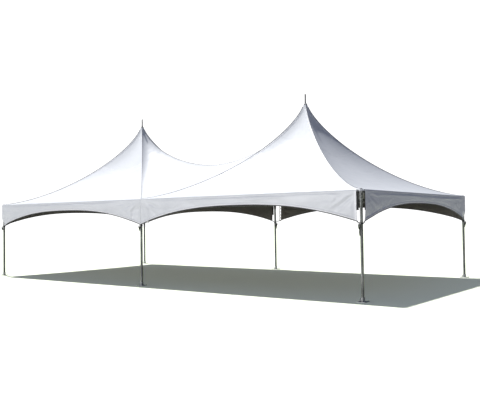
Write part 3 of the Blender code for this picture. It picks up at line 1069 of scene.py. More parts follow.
        # The eave past the beams: how far out, how far down
        turn_down = ((0.008, 0.0002), (0.018, 0.0012), (0.027, 0.0034), (0.035, 0.0072), (0.0420, 0.0128),
                     (0.0475, 0.0195), (0.0512, 0.0270), (0.0534, 0.0350), (0.0542, 0.0420))
        builder = bmesh.new()
        cut = builder.loops.layers.uv.new("cut")
        zone = builder.loops.layers.uv.new("zone")
        for _, bay_side, centre in PLAN.bays():
            rows = []
            for index in range(self.rings + 1):
                level = (index / self.rings) ** 1.55
                reach = PLAN.half * (self.crown_reach + (1 - self.crown_reach) * level)
                row = []
                for to_middle, across in outline:
                    x = centre - bay_side * to_middle * reach
                    y = across * reach
                    row.append((builder.verts.new((x, y, self.height(x, y))), level))
                rows.append(row)
            for out, down in turn_down:
                row = []
                wide = PLAN.half + out
                for index, (to_middle, across) in enumerate(outline):
                    if index > middle_side:
                        row.append(None)
                        continue
                    x = centre - bay_side * to_middle * (wide if to_middle <= -1 else PLAN.half)
                    y = across * (wide if abs(across) > 0.98 else PLAN.half)
                    x, y = self.rounded(x, y, PLAN.bay + out, wide, 0.004 + out * 0.45)
                    gather = self.gather(x, y) * smooth(out, 0.004, 0.030)
                    row.append((builder.verts.new((x, y, PLAN.eave_height - down + gather)), 1.0 + out))
                rows.append(row)
            for index, (inner, outer) in enumerate(zip(rows, rows[1:])):
                for step in range(len(outline)):
                    after = (step + 1) % len(outline)
                    corners = (inner[step], inner[after], outer[after], outer[step])
                    past_eave = index >= self.rings and step >= middle_side
                    if past_eave or any(corner is None for corner in corners):
                        continue
                    face = builder.faces.new([corner[0] for corner in corners])
                    sideways = self.side_steps <= step < 2 * self.side_steps or step >= middle_side
                    for loop, (vertex, level) in zip(face.loops, corners):
                        run = vertex.co.y if sideways else vertex.co.x
                        loop[cut].uv = (run, level * 3.9)
                        loop[zone].uv = (level, 0.0)
        bmesh.ops.remove_doubles(builder, verts=builder.verts, dist=2e-5)
        bmesh.ops.recalc_face_normals(builder, faces=builder.faces)
        mesh = bpy.data.meshes.new("canopy_cloth")
        builder.to_mesh(mesh)
        builder.free()
        if sum(face.normal.z * face.area for face in mesh.polygons) < 0:
            mesh.flip_normals()
        mesh.shade_smooth()
        return mesh

    def make_cloth(self) -> Object:
        """The cloth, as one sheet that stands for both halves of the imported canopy."""
        mesh = self.cloth_mesh()
        area = sum(face.area for face in mesh.polygons)
        item = self.shop.piece("canopy_cloth", mesh, [self.finishes.roof, self.finishes.shaded_lining], "canvas")
        self.shop.thicken(item, self.thickness, shaded_lining=1)
        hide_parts("canopy_left", "canopy_right")
        LOG.info("canopy cloth: %.1f square metres", area)
        return item

    def band_mesh(self, line: Sequence[tuple[float, float]], offset: tuple[float, float],
                  width: Callable[[float], float], raised: float = 1.0) -> Mesh:
        """A raised band with a low ridge by each edge, along a line on the plan.

        Args:
            line: The middle of the band.
            offset: The plan direction across it.
            width: The band's full width at a share of its length.
            raised: How high it stands, as a share of the usual height.

        Returns:
            The mesh.
        """
        half_section = ((1.0, 0.0002), (0.97, 0.0030), (0.86, 0.0052), (0.74, 0.0026), (0.3, 0.0022))
        section = [(-share, lift) for share, lift in half_section] + [(0.0, 0.0030), *half_section[::-1]]
        rows, layout, travelled, before = [], [], 0.0, None
        for index, (x, y) in enumerate(line):
            half = width(index / (len(line) - 1)) / 2
            middle = self.spot(x, y)
            travelled += (middle - before).length if before is not None else 0.0
            before = middle
            row = []
            for share, lift in section:
                row.append(tuple(self.spot(x + offset[0] * half * share, y + offset[1] * half * share,
                                           lift * raised)))
            rows.append(row)
            layout.append([(share * half, travelled) for share, _ in section])
        return grid_mesh(rows, layout)

    def hip_width(self, share: float) -> float:
        """The width of a hip's seam band at a share of its length: narrow by the crown."""
        return self.band_width * (0.30 + 0.70 * smooth(share, 0.0, 0.16))

    def make_hips(self) -> list[Object]:
        """The doubled, piped seam down each hip and along the ridge, one piece for each bay; its cord is dark
        grey, a painted shadow line along the hip.
        """
        made = []
        steps = 120
        for bay_name, bay_side, centre in PLAN.bays():
            meshes, edges = [], []
            ways = [(along, across) for along in (-1.0, 1.0) for across in (-1.0, 1.0)] + [(-bay_side, 0.0)]
            for along, across in ways:
                start, end = 0.016, 1.0 if along * bay_side < 0 else 1.0 + 0.028 / PLAN.half
                line = []
                for step in range(steps + 1):
                    share = start + (end - start) * (step / steps) ** 1.5
                    line.append((centre + along * share * PLAN.half, across * share * PLAN.half))
                length = math.hypot(along, across)
                meshes.append(self.band_mesh(line, (-across / length, along / length), self.hip_width))
                edges.append([self.spot(x, y, self.piping_radius) for x, y in line[::2]])
            item = self.shop.piece(f"hip_seams_{bay_name}", joined(meshes), [self.finishes.seam], "canvas")
            shadow_line_piping = self.growths.cord.grow(line_mesh(edges), self.finishes.shadow_line_piping, radius=self.piping_radius,
                                            sides=6)
            made += [item, self.shop.piece(f"hip_piping_{bay_name}", shadow_line_piping, [], "canvas")]
        return made

    def make_crown_seams(self) -> list[Object]:
        """The flat welded seam round each peak, where its doubled crown piece ends."""
        made = []
        steps = 40
        for bay_name, _, centre in PLAN.bays():
            meshes = []
            reach = PLAN.half * (self.crown_reach + (1 - self.crown_reach) * PLAN.crown_piece)
            for side_x, side_y in ((1, 0), (-1, 0), (0, 1), (0, -1)):
                line = []
                for step in range(steps + 1):
                    run = (2 * step / steps - 1) * (reach - 0.026)
                    line.append((centre + side_x * reach + side_y * run, side_y * reach - side_x * run))
                meshes.append(self.band_mesh(line, (-side_x, -side_y), lambda share: self.cross_width, 0.4))
            seams = joined(meshes)
            made.append(self.shop.piece(f"crown_seam_{bay_name}", seams, [self.finishes.seam], "canvas"))
        return made


class Edge(Enum):
    """How one end of a valance is finished."""

    CORNER = "runs round a closed corner"
    MEETING = "joins the next valance at a leg"
    TAPED = "ends in a black hook tape by the leg"
    LACED = "ends in lacing loops by the leg"

    @property
    def is_open(self) -> bool:
        """True where the cloth isn't joined to its neighbour."""
        return self in (Edge.TAPED, Edge.LACED)


@dataclass(frozen=True)
class Run:
    """Where one valance hangs, as seen from outside."""

    side: str
    origin: tuple[float, float]
    turn: float
    start: float
    end: float
    start_edge: Edge
    end_edge: Edge

    def world(self, along: float, out: float, height: float) -> Vector:
        """A point in the tent's metres.

        Args:
            along: The way along the valance from its bay's middle.
            out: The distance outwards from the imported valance's inner face.
            height: The height above the ground.

        Returns:
            The point.
        """
        angle = math.radians(self.turn)
        return Vector((self.origin[0] + along * math.cos(angle) + out * math.sin(angle),
                       self.origin[1] + along * math.sin(angle) - out * math.cos(angle), height))

    def outward(self) -> Vector:
        """The direction away from the tent."""
        onward = self.onward()
        return Vector((onward.y, -onward.x, 0.0))

    def onward(self) -> Vector:
        """The direction along the valance."""
        angle = math.radians(self.turn)
        return Vector((math.cos(angle), math.sin(angle), 0.0))


@dataclass
class Valances:
    """Six arched valances with hems, edge cords, hook tapes, lacing and eyelets."""

    finishes: Finishes
    growths: Growths
    shop: Shop
    drop_at_leg: float = 0.64
    drop_in_middle: float = 0.23
    arch_power: float = 2.45
    corner_slot: float = 0.072
    taped_slot: float = 0.135
    laced_slot: float = 0.200
    hem: float = 0.032
    lap: float = 0.0016
    thickness: float = 0.0024
    corner_radius: float = 0.020
    proud: float = 0.0082
    corner_draw: float = 0.043
    meeting_draw: float = 0.013
    gusset_draw: float = 0.012
    open_draw: float = 0.016
    lacing_top: float = 0.055
    lacing_step: float = 0.098
    eyelet_inset: float = 0.022
    loop_reach: float = 0.038
    border: float = 0.0490
    cord_radius: float = 0.0100
    tape_width: float = 0.044
    end_tape_width: float = 0.028
    tape_length: float = 0.405

    @property
    def top(self) -> float:
        """The height of a valance's top edge."""
        return PLAN.eave_height - PLAN.skin - 0.0003

    def runs(self) -> list[Run]:
        """The six valances' places."""
        half = PLAN.half
        inner = half + PLAN.overhang - PLAN.skin
        corner = half + PLAN.overhang - 0.0015
        slot, taped, laced = half - self.corner_slot, half - self.taped_slot, half - self.laced_slot
        end = PLAN.bay + PLAN.overhang - PLAN.skin
        return [
            Run("front_left", (-half, -inner), 0, -corner, half + 0.0140, Edge.CORNER, Edge.MEETING),
            Run("front_right", (half, -inner), 0, -half + 0.0002, slot, Edge.MEETING, Edge.TAPED),
            Run("end_right", (end, 0.0), 90, -slot, corner, Edge.TAPED, Edge.CORNER),
            Run("back_right", (half, inner), 180, -corner, laced, Edge.CORNER, Edge.LACED),
            Run("back_left", (-half, inner), 180, -taped, laced, Edge.TAPED, Edge.LACED),
            Run("end_left", (-end, 0.0), 270, -slot, corner, Edge.TAPED, Edge.CORNER),
        ]

    def drop(self, along: float) -> float:
        """How far a valance hangs down at a place along its bay."""
        share = min(1.0, abs(along) / PLAN.half)
        return self.drop_in_middle + (self.drop_at_leg - self.drop_in_middle) * share ** self.arch_power

    def ripple(self, run: Run, along: float, depth: float) -> float:
        """How far the cloth stands out from its ideal plane.

        Args:
            run: The valance.
            along: The place along it.
            depth: The distance down from its top.

        Returns:
            The distance outwards.
        """
        key = run.turn * 0.37 + run.origin[0]
        free = smooth(depth, 0.035, 0.12)
        slack = noise.noise((along * 0.9, depth * 1.4, key)) * 0.014
        fine = noise.noise((along * 3.7, depth * 3.0, key + 9)) * 0.0045
        under_eave = math.exp(-((depth - 0.085 - 0.02 * noise.noise((along * 0.8, key, 2.0))) / 0.026) ** 2)
        roll = under_eave * (0.007 + 0.009 * noise.noise((along * 1.1, 4.0, key)))
        fans, crumple = 0.0, 0.0
        strain = 0.006 if run.side == "end_right" else 0.016
        for leg in (-PLAN.half, PLAN.half):
            away = math.hypot(along - leg, depth - 0.01)
            angle = math.atan2(depth - 0.01, abs(along - leg) + 1e-6)
            crease = abs(noise.noise((angle * 4.2, 1.7 * away, key + leg)))
            fans += (0.5 - crease * 2.2) * strain * smooth(away, 0.03, 0.22) * (1 - smooth(away, 0.30, 1.25))
            crumple += 1 - smooth(away, 0.10, 0.55)
        patch = smooth(noise.noise((along * 1.3, 7.0, key)), 0.05, 0.45)
        lean = along * 13.0 - math.copysign(9.0, along) * depth
        pucker = noise.noise((lean, depth * 4.0, key + 3)) * (0.55 * patch + 0.8 * min(1.0, crumple))
        pucker *= 0.0085 * math.exp(-((depth - 0.085) / 0.06) ** 2)
        bow = 0.010 * math.sin(math.pi * min(1.0, depth / self.drop(along)))
        return free * (slack + fine + fans + bow) + (roll + pucker) * smooth(depth, 0.03, 0.07)

    def point(self, run: Run, along: float, depth: float, lift: float = 0.0) -> Vector:
        """A point on a valance's outer face.

        Args:
            run: The valance.
            along: The place along it, which goes round a closed corner past the corner's start.
            depth: The distance down from its top.
            lift: How far outside the cloth it is.

        Returns:
            The point.
        """
        out = self.proud + self.ripple(run, along, depth)
        drop = self.drop(along)
        low = smooth(depth / drop, 0.62, 1.0)
        shift = 0.0
        for edge, place, way in self.ends(run):
            gap = (along - place) * way
            near = 1 - smooth(gap, 0.0, 0.34)
            spread = 0.015 + 0.95 * min(depth, 0.30)
            gusset = (1 - smooth(gap, spread, spread + 0.05)) * smooth(depth, 0.02, 0.30)
            if edge is Edge.CORNER:
                calm = smooth(gap, 0.02, 0.16)
                out = self.proud + (out - self.proud) * calm
                out -= self.corner_draw * near * low
                shift += self.corner_draw * near * low * way
            elif edge is Edge.MEETING:
                calm = smooth(gap, 0.0, 0.05)
                out = self.proud + (out - self.proud) * calm * (1 - 0.6 * gusset)
                out -= self.meeting_draw * near * low + self.gusset_draw * gusset
            else:
                out = self.proud + (out - self.proud) * (0.12 + 0.88 * smooth(gap, 0.02, 0.20))
                out -= self.open_draw * near * low
        x, lift_along = along, 0.0
        radius = self.corner_radius
        for edge, place, way in self.ends(run):
            past = radius - (along - place) * way
            if edge is Edge.CORNER and past > 0:
                angle = min(math.pi / 4, past / radius * math.pi / 4)
                x = place + way * (radius - radius * math.sin(angle))
                out -= radius * (1 - math.cos(angle))
                lift_along = -way * math.sin(angle) * lift
                lift *= math.cos(angle)
        return run.world(x + shift + lift_along, out + lift, self.top - depth)

    def columns(self, run: Run) -> list[float]:
        """Places along a valance, closer together towards its ends."""
        length = run.end - run.start
        near = [0.0, 0.004, 0.009, 0.014, 0.020, 0.028, 0.036, 0.0485, 0.050, 0.066, 0.084, 0.104,
                0.126, 0.15, 0.176, 0.204, 0.234, 0.266, 0.30, 0.335]
        inner = length - 2 * near[-1]
        steps = int(inner / 0.026)
        middle = [near[-1] + inner * step / steps for step in range(1, steps)]
        return [run.start + gap for gap in near + middle + [length - gap for gap in reversed(near)]]

    def cloth_mesh(self, run: Run) -> Mesh:
        """One valance's cloth, with a raised hem along its arch and its open ends."""
        columns = self.columns(run)
        shares = [(step / 19) ** 1.15 for step in range(20)]
        rows, layout = [], []
        for index in range(len(shares) + 3):
            row, flat = [], []
            for along in columns:
                drop = self.drop(along)
                if index < len(shares):
                    depth = (drop - self.hem) * shares[index]
                else:
                    depth = drop - (self.hem - 0.0012, 0.002, 0.0)[index - len(shares)]
                lift = self.lap if len(shares) <= index < len(shares) + 2 else 0.0
                for edge, place, way in self.ends(run):
                    if edge.is_open and abs(along - place) < self.border:
                        lift = self.lap
                    elif edge is Edge.MEETING and way < 0 and along > place - 0.030:
                        lift += 0.0028
                row.append(tuple(self.point(run, along, depth, lift)))
                flat.append((along, depth))
            rows.append(row)
            layout.append(flat)
        mesh = grid_mesh(rows[::-1], layout[::-1])
        flat = mesh.uv_layers["cut"].data
        for face in mesh.polygons:
            along = sum(flat[loop].uv[0] for loop in face.loop_indices) / 4
            depth = sum(flat[loop].uv[1] for loop in face.loop_indices) / 4
            bordered = any(edge.is_open and abs(along - place) < self.border
                           for edge, place, _ in self.ends(run))
            if bordered or depth > self.drop(along) - self.hem:
                face.material_index = 2
        return mesh

    def ends(self, run: Run) -> list[tuple[Edge, float, float]]:
        """A valance's two ends: each one's finish, its place, and which way leads on along the cloth."""
        return [(run.start_edge, run.start, 1.0), (run.end_edge, run.end, -1.0)]

    def hem_path(self, run: Run) -> list[Vector]:
        """The edge cord's path under the arch, with its open ends drawn in to the legs."""
        low = self.cord_radius * 0.6
        path = [self.point(run, along, self.drop(along) + low, -0.001)
                for along in self.columns(run)[::2] + [run.end]]
        for edge, place, way in self.ends(run):
            if not edge.is_open:
                continue
            last = self.point(run, place, self.drop(place) + low, -0.001)
            leg_along = math.copysign(PLAN.half, place)
            reach = PLAN.tube_radius + low
            axis_out = -(PLAN.overhang - PLAN.skin)
            foot = run.world(leg_along - math.copysign(reach * 0.80, place), axis_out + reach * 0.60,
                             last.z - 0.030)
            tail = []
            for step in range(1, 9):
                share = step / 8
                spot = last.lerp(foot, share)
                spot.z -= 0.012 * math.sin(math.pi * share) + 0.006 * share
                tail.append(spot)
            path = tail[::-1] + path if way > 0 else path + tail
        return path

    def make_tapes(self, run: Run) -> list[Object]:
        """Black hook tapes beside the legs at a valance's taped ends."""
        made = []
        for edge, place, way in self.ends(run):
            if edge is not Edge.TAPED:
                continue
            rows, layout = [], []
            width = self.end_tape_width if "end" in run.side else self.tape_width
            for step in range(25):
                depth = 0.003 + self.tape_length * step / 24
                row, flat = [], []
                for share in (-0.16, -0.14, 0.0, 0.3, 0.6, 0.88, 1.0):
                    along = place - way * width * share
                    curl = 0.0015 * noise.noise((depth * 5.0, share * 2.0, place)) + 0.003 * max(0.0, share)
                    base = self.point(run, place, depth)
                    stand = curl - 0.0008 - 0.004 * share
                    spot = base + run.onward() * (along - place) + run.outward() * stand
                    row.append(tuple(spot))
                    flat.append((share * width, depth))
                rows.append(row)
                layout.append(flat)
            mesh = grid_mesh(rows if way < 0 else [row[::-1] for row in rows],
                             layout if way < 0 else [flat[::-1] for flat in layout])
            end_name = "start" if way > 0 else "end"
            item = self.shop.piece(f"hook_tape_{run.side}_{end_name}", mesh, [self.finishes.strip], "canvas")
            self.shop.thicken(item, 0.0026)
            made.append(item)
        return made

    def make_lacing(self, run: Run) -> list[Object]:
        """Cream lacing loops through eyelets at a valance's laced end."""
        made = []
        for edge, place, way in self.ends(run):
            if edge is not Edge.LACED:
                continue
            loops, rings = [], []
            outward = tuple(run.outward())
            for step in range(6):
                depth = self.lacing_top + step * self.lacing_step
                if depth > self.drop(place) - 0.03:
                    continue
                hole = self.point(run, place + way * self.eyelet_inset, depth, self.lap + 0.001)
                rings.append((tuple(hole), outward))
                middle = self.point(run, place - way * self.loop_reach, depth + 0.014, 0.030)
                loops.append((tuple(middle), outward))
            cords = self.growths.loops.grow(point_mesh(loops), self.finishes.lacing)
            made.append(self.shop.piece(f"lacing_{run.side}", cords, [], "canvas"))
            eyes = self.growths.eyelets.grow(point_mesh(rings), self.finishes.zinc)
            made.append(self.shop.piece(f"eyelets_{run.side}", eyes, [], "fitting"))
        return made

    def make(self) -> None:
        """Hang all six valances."""
        for run in self.runs():
            mesh = self.cloth_mesh(run)
            layers = [self.finishes.cloth, self.finishes.shaded_lining, self.finishes.hem, self.finishes.shaded_lining]
            item = self.shop.piece(f"valance_cloth_{run.side}", mesh, layers, "canvas")
            self.shop.thicken(item, self.thickness, shaded_lining=1)
            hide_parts(f"valance_{run.side}")
            cord = self.growths.cord.grow(line_mesh([self.hem_path(run)]), self.finishes.binding,
                                          radius=self.cord_radius)
            others = [self.shop.piece(f"hem_cord_{run.side}", cord, [], "canvas")]
            seam = [self.point(run, along, self.drop(along) - self.hem + 0.006, self.lap + 0.0003)
                    for along in self.columns(run)]
            thread = self.growths.stitches.grow(line_mesh([seam]), self.finishes.lacing)
            others.append(self.shop.piece(f"hem_stitches_{run.side}", thread, [], "canvas"))
            others += self.make_tapes(run) + self.make_lacing(run)


# Ties and hardware


@dataclass
class LegTies:
    """What ties the cloth's corners to the legs: a webbing cuff, a ring, a ratchet and a strap's tail."""

    finishes: Finishes
    shop: Shop
    tie_height: float = 1.508
    cuff_height: float = 0.030
    cuff_turns: int = 2
    ring_size: float = 0.027
    ring_bar: float = 0.0038
    strap_width: float = 0.026
    ratchet_half: float = 0.022
    drum: tuple[float, float] = (0.038, 0.013)
    # Each leg's ratchet: the way that it faces in degrees, and the length of its strap's tail
    hangs: dict[str, tuple[float, float]] = field(default_factory=lambda: {
        "front_left": (215.0, 0.085), "front_middle": (245.0, 0.060), "front_right": (240.0, 0.150),
        "back_left": (125.0, 0.075), "back_middle": (60.0, 0.100), "back_right": (40.0, 0.070)})

    def cuff_mesh(self, x: float, y: float) -> Mesh:
        """A webbing cuff wound round a leg, a little askew.

        Args:
            x: The leg's place.
            y: The leg's place.

        Returns:
            The mesh.
        """
        section = ((-0.5, 0.0), (-0.5, 0.0022), (-0.42, 0.0032), (0.0, 0.0030), (0.42, 0.0032),
                   (0.5, 0.0022), (0.5, 0.0))
        rows, layout = [], []
        steps = 56
        for step in range(steps + 1):
            angle = self.cuff_turns * math.tau * step / steps
            lift = 0.0028 * step / steps
            askew = 0.004 * math.sin(angle * 0.5 + x) - 0.006 * step / steps
            row, flat = [], []
            for share, proud in section:
                radius = PLAN.tube_radius + 0.0006 + lift + proud
                row.append((x + radius * math.cos(angle), y + radius * math.sin(angle),
                            self.tie_height + 0.018 + askew + share * self.cuff_height))
                flat.append((share * self.cuff_height, angle * radius))
            rows.append(row)
            layout.append(flat)
        return sealed(grid_mesh(rows, layout), len(section), 40.0, inner=True)

    def ring_mesh(self, middle: Vector, across: Vector) -> Mesh:
        """A welded D ring that hangs in an upright plane.

        Args:
            middle: Its middle.
            across: The level direction in its plane.

        Returns:
            The mesh.
        """
        path = []
        for angle in turns(32):
            squash = 0.72 if math.sin(angle) > 0 else 1.0
            rise = Vector((0, 0, self.ring_size * squash * math.sin(angle)))
            path.append(middle + across * (self.ring_size * math.cos(angle)) + rise)
        return tube_mesh(path, self.ring_bar, 8, closed=True)

    def strap_mesh(self, path: Sequence[Vector], wide: Vector, thick: float) -> Mesh:
        """A flat woven strap along a path.

        Args:
            path: The points along its middle.
            wide: The direction of its width.
            thick: Its full thickness.

        Returns:
            The mesh.
        """
        return tube_mesh(path, self.strap_width / 2, 10, flat=thick / self.strap_width, wide=wide)

    def ratchet_mesh(self, top: Vector, out: Vector, across: Vector) -> Mesh:
        """A small ratchet buckle: two side plates with a toothed drum and a bent handle.

        Args:
            top: The middle of its top.
            out: The direction away from the leg.
            across: The level direction across it.

        Returns:
            The mesh.
        """
        down = Vector((0, 0, -1))

        def at(drop: float, proud: float, side: float = 0.0) -> Vector:
            """A point so far down from the top, out from the leg and across."""
            return top + down * drop + out * proud + across * side

        meshes = []
        outline = [(0.0, 0.004), (0.006, 0.015), (0.028, 0.027), (0.050, 0.028), (0.072, 0.020),
                   (0.084, 0.009), (0.080, 0.001), (0.030, -0.003), (0.004, -0.002)]
        for side in (-self.ratchet_half, self.ratchet_half):
            rows = [[tuple(at(*place, side + depth)) for place in outline] for depth in (-0.0012, 0.0012)]
            meshes.append(sealed(grid_mesh(rows, [outline] * 2, closed=True), len(outline)))
        reach = self.ratchet_half - 0.0015
        for drop, proud, radius in ((*self.drum, 0.0120), (0.072, 0.007, 0.0045), (0.010, 0.006, 0.0038)):
            meshes.append(tube_mesh([at(drop, proud, -reach), at(drop, proud, reach)], radius, 12))
        drop, proud = self.drum
        for side in (0.0042 - self.ratchet_half, self.ratchet_half - 0.0042):
            teeth = []
            for step, angle in enumerate(turns(24)):
                reach = 0.0195 if step % 2 else 0.0160
                teeth.append(at(drop + reach * math.cos(angle), proud + reach * math.sin(angle), side))
            rows = [[tuple(point + across * depth) for point in teeth] for depth in (-0.0009, 0.0009)]
            meshes.append(sealed(grid_mesh(rows, [[(0.0, 0.0)] * 24] * 2, closed=True), 24))
        handle = [at(0.040, 0.031), at(0.014, 0.037), at(-0.014, 0.031), at(-0.020, 0.027)]
        meshes.append(tube_mesh(handle, 0.0195, 10, flat=0.24, wide=across))
        return joined(meshes)

    def make(self) -> None:
        """Tie the cloth to all six legs."""
        for name, x, y in PLAN.legs():
            facing, tail = self.hangs[name]
            turn = math.radians(facing)
            out = Vector((math.cos(turn), math.sin(turn), 0.0))
            across = out.cross(Vector((0, 0, 1)))
            axis = Vector((x, y, 0))
            self.shop.piece(f"leg_cuff_{name}", self.cuff_mesh(x, y), [self.finishes.strap], "canvas")
            middle = axis + out * (PLAN.tube_radius + 0.0115) + Vector((0, 0, self.tie_height + 0.020))
            ring = self.ring_mesh(middle, across)
            self.shop.piece(f"tie_ring_{name}", ring, [self.finishes.ring], "fitting")
            low = middle.z - self.ring_size
            top = axis + out * (PLAN.tube_radius + 0.0050) + Vector((0, 0, low - 0.012))
            lug = [top + Vector((0, 0, rise)) + out * proud
                   for rise, proud in ((0.024, 0.0085), (0.010, 0.0100), (-0.008, 0.0070))]
            straps = [self.strap_mesh(lug, across, 0.0034)]
            path = []
            for step in range(13):
                share = step / 12
                sway = 0.010 * math.sin(share * 3.0 + x) * share
                path.append(top + Vector((0, 0, -0.058 - tail * share)) + across * sway
                            + out * (0.004 + 0.006 * math.sin(share * 4)))
            straps.append(self.strap_mesh(path, (across + out * 0.6).normalized(), 0.0028))
            self.shop.piece(f"tie_strap_{name}", joined(straps), [self.finishes.strap], "canvas")
            ratchet = self.ratchet_mesh(top, out, across)
            self.shop.piece(f"ratchet_{name}", ratchet, [self.finishes.dark_steel], "fitting")


@dataclass
class FrameHardware:
    """What holds the frame together: bolts in the fittings, pins at the feet and ends on the cables."""

    finishes: Finishes
    growths: Growths
    shop: Shop
    beam_bolts: tuple[float, float] = (0.085, 0.140)
    leg_bolts: tuple[float, float] = (2.000, 2.060)
    foot_bolt: tuple[float, float] = (0.0409, 0.062)
    stake_gap: float = 0.075
    mast_foot: float = 2.025
    disc_reach: float = 0.0605
    buckle_gap: float = 0.100

    def make_bolts(self) -> None:
        """Bolt heads on every sleeve, and a through bolt in each foot's socket."""
        sleeves, feet = [], []
        reach = PLAN.sleeve_radius + 0.0009
        low, high = self.leg_bolts
        foot_reach, foot_height = self.foot_bolt
        for name, x, y in PLAN.legs():
            side_x, side_y = math.copysign(1, x), math.copysign(1, y)
            arms = [(-side_x, 0), (0, -side_y)]
            if "middle" in name:
                arms, side_x = [(1, 0), (-1, 0)], 0.0
            for arm_x, arm_y in arms:
                for along in self.beam_bolts:
                    spot = (x + arm_x * along, y + arm_y * along, PLAN.beam_height - reach)
                    sleeves.append((spot, (0, 0, -1)))
            outward = Vector((side_x, side_y, 0)).normalized()
            for height, sign in ((low, 1), (low, -1), (high, 1)):
                way = outward * sign
                sleeves.append(((x + way.x * reach, y + way.y * reach, height), tuple(way)))
            for sign in (1, -1):
                feet.append(((x + sign * foot_reach, y, foot_height), (sign, 0, 0)))
        bolts = self.growths.bolts.grow(point_mesh(sleeves), self.finishes.zinc)
        self.shop.piece("fitting_bolts", bolts, [], "fitting")
        bolts = self.growths.bolts.grow(point_mesh(feet), self.finishes.zinc, seed=9)
        self.shop.piece("foot_bolts", bolts, [], "fitting")

    def make_foot_pins(self) -> None:
        """A pull pin with a bright ring in each foot's socket, and a stake head in each of its holes."""
        # The rings round a stake's head: radius and height
        profile = ((0.0078, 0.006), (0.0078, 0.0105), (0.0165, 0.0110), (0.0170, 0.0150), (0.0135, 0.0205),
                   (0.0070, 0.0235), (0.0012, 0.0242))
        for name, x, y in PLAN.legs():
            pin = [Vector((x - 0.052, y - 0.012, 0.050)), Vector((x - 0.036, y - 0.008, 0.050))]
            ring = [Vector((x - 0.053 - 0.004 * math.sin(angle), y - 0.013 + 0.022 * math.cos(angle),
                            0.036 + 0.024 * math.sin(angle))) for angle in turns(28)]
            meshes = [tube_mesh(pin, 0.005, 10), tube_mesh(ring, 0.0050, 8, closed=True)]
            for side in (-self.stake_gap, self.stake_gap):
                rows = [[(x + side + radius * math.cos(angle), y + side + radius * math.sin(angle), height)
                         for angle in turns(20)] for radius, height in profile]
                head = grid_mesh(rows, [[place] * 20 for place in profile], closed=True)
                meshes.append(sealed(head, 20))
            self.shop.piece(f"foot_pins_{name}", joined(meshes), [self.finishes.ring], "fitting")

    @staticmethod
    def ferrule_radius(share: float) -> float:
        """A pressed ferrule's radius at a share of its length: a little less at its ends."""
        return 0.0062 if 0.1 < share < 0.9 else 0.0052

    @staticmethod
    def turnbuckle(nut_end: Vector, along: Vector, side: Vector) -> list[Mesh]:
        """A turnbuckle: two rods between two nuts, and a threaded end through each nut.

        Args:
            nut_end: The end of the nut by the leg.
            along: The cable's direction towards the leg.
            side: The level direction across it.

        Returns:
            Its meshes.
        """
        meshes = []
        for offset in (-0.0115, 0.0115):
            rod = [nut_end - along * gap + side * offset for gap in (0.004, 0.158)]
            meshes.append(tube_mesh(rod, 0.0038, 8))
        for gap in (0.0, 0.140):
            nut = [nut_end - along * gap, nut_end - along * (gap + 0.022)]
            meshes.append(tube_mesh(nut, 0.0148, 8, flat=0.62, wide=side))
        for gap in (-0.030, 0.115):
            thread = [nut_end - along * gap, nut_end - along * (gap + 0.075)]
            meshes.append(tube_mesh(thread, 0.0062, 10))
        return meshes

    def make_cable_ends(self) -> None:
        """A turnbuckle by the leg, and a pressed ferrule with its eye at both ends of each cable."""
        for bay_name, _, centre in PLAN.bays():
            meshes, rings = [], []
            for y in (-PLAN.half, PLAN.half):
                for x in (centre - PLAN.half, centre + PLAN.half):
                    way = Vector((x - centre, y, 0)).normalized()
                    start = Vector((centre, 0, self.mast_foot)) + way * self.disc_reach
                    end = Vector((x, y, PLAN.cable_height)) - way * (PLAN.sleeve_radius + 0.0005)
                    along = (end - start).normalized()
                    side = along.cross(Vector((0, 0, 1))).normalized()
                    rise = side.cross(along).normalized()
                    for foot, inward in ((start, along), (end, -along)):
                        ferrule = [foot + inward * gap for gap in (0.036, 0.040, 0.066, 0.070)]
                        meshes.append(tube_mesh(ferrule, self.ferrule_radius, 12))
                        loop = [foot + inward * (0.0195 + 0.0175 * math.cos(angle))
                                + rise * (0.0098 * math.sin(angle)) for angle in turns(20)]
                        rings.append(tube_mesh(loop, 0.0030, 8, closed=True))
                    meshes += self.turnbuckle(end - along * self.buckle_gap, along, side)
            self.shop.piece(f"turnbuckles_{bay_name}", joined(meshes), [self.finishes.zinc], "fitting")
            self.shop.piece(f"cable_eyes_{bay_name}", joined(rings), [self.finishes.zinc], "fitting")

    def make(self) -> None:
        """Add all the hardware."""
        self.make_bolts()
        self.make_foot_pins()
        self.make_cable_ends()


# The studio


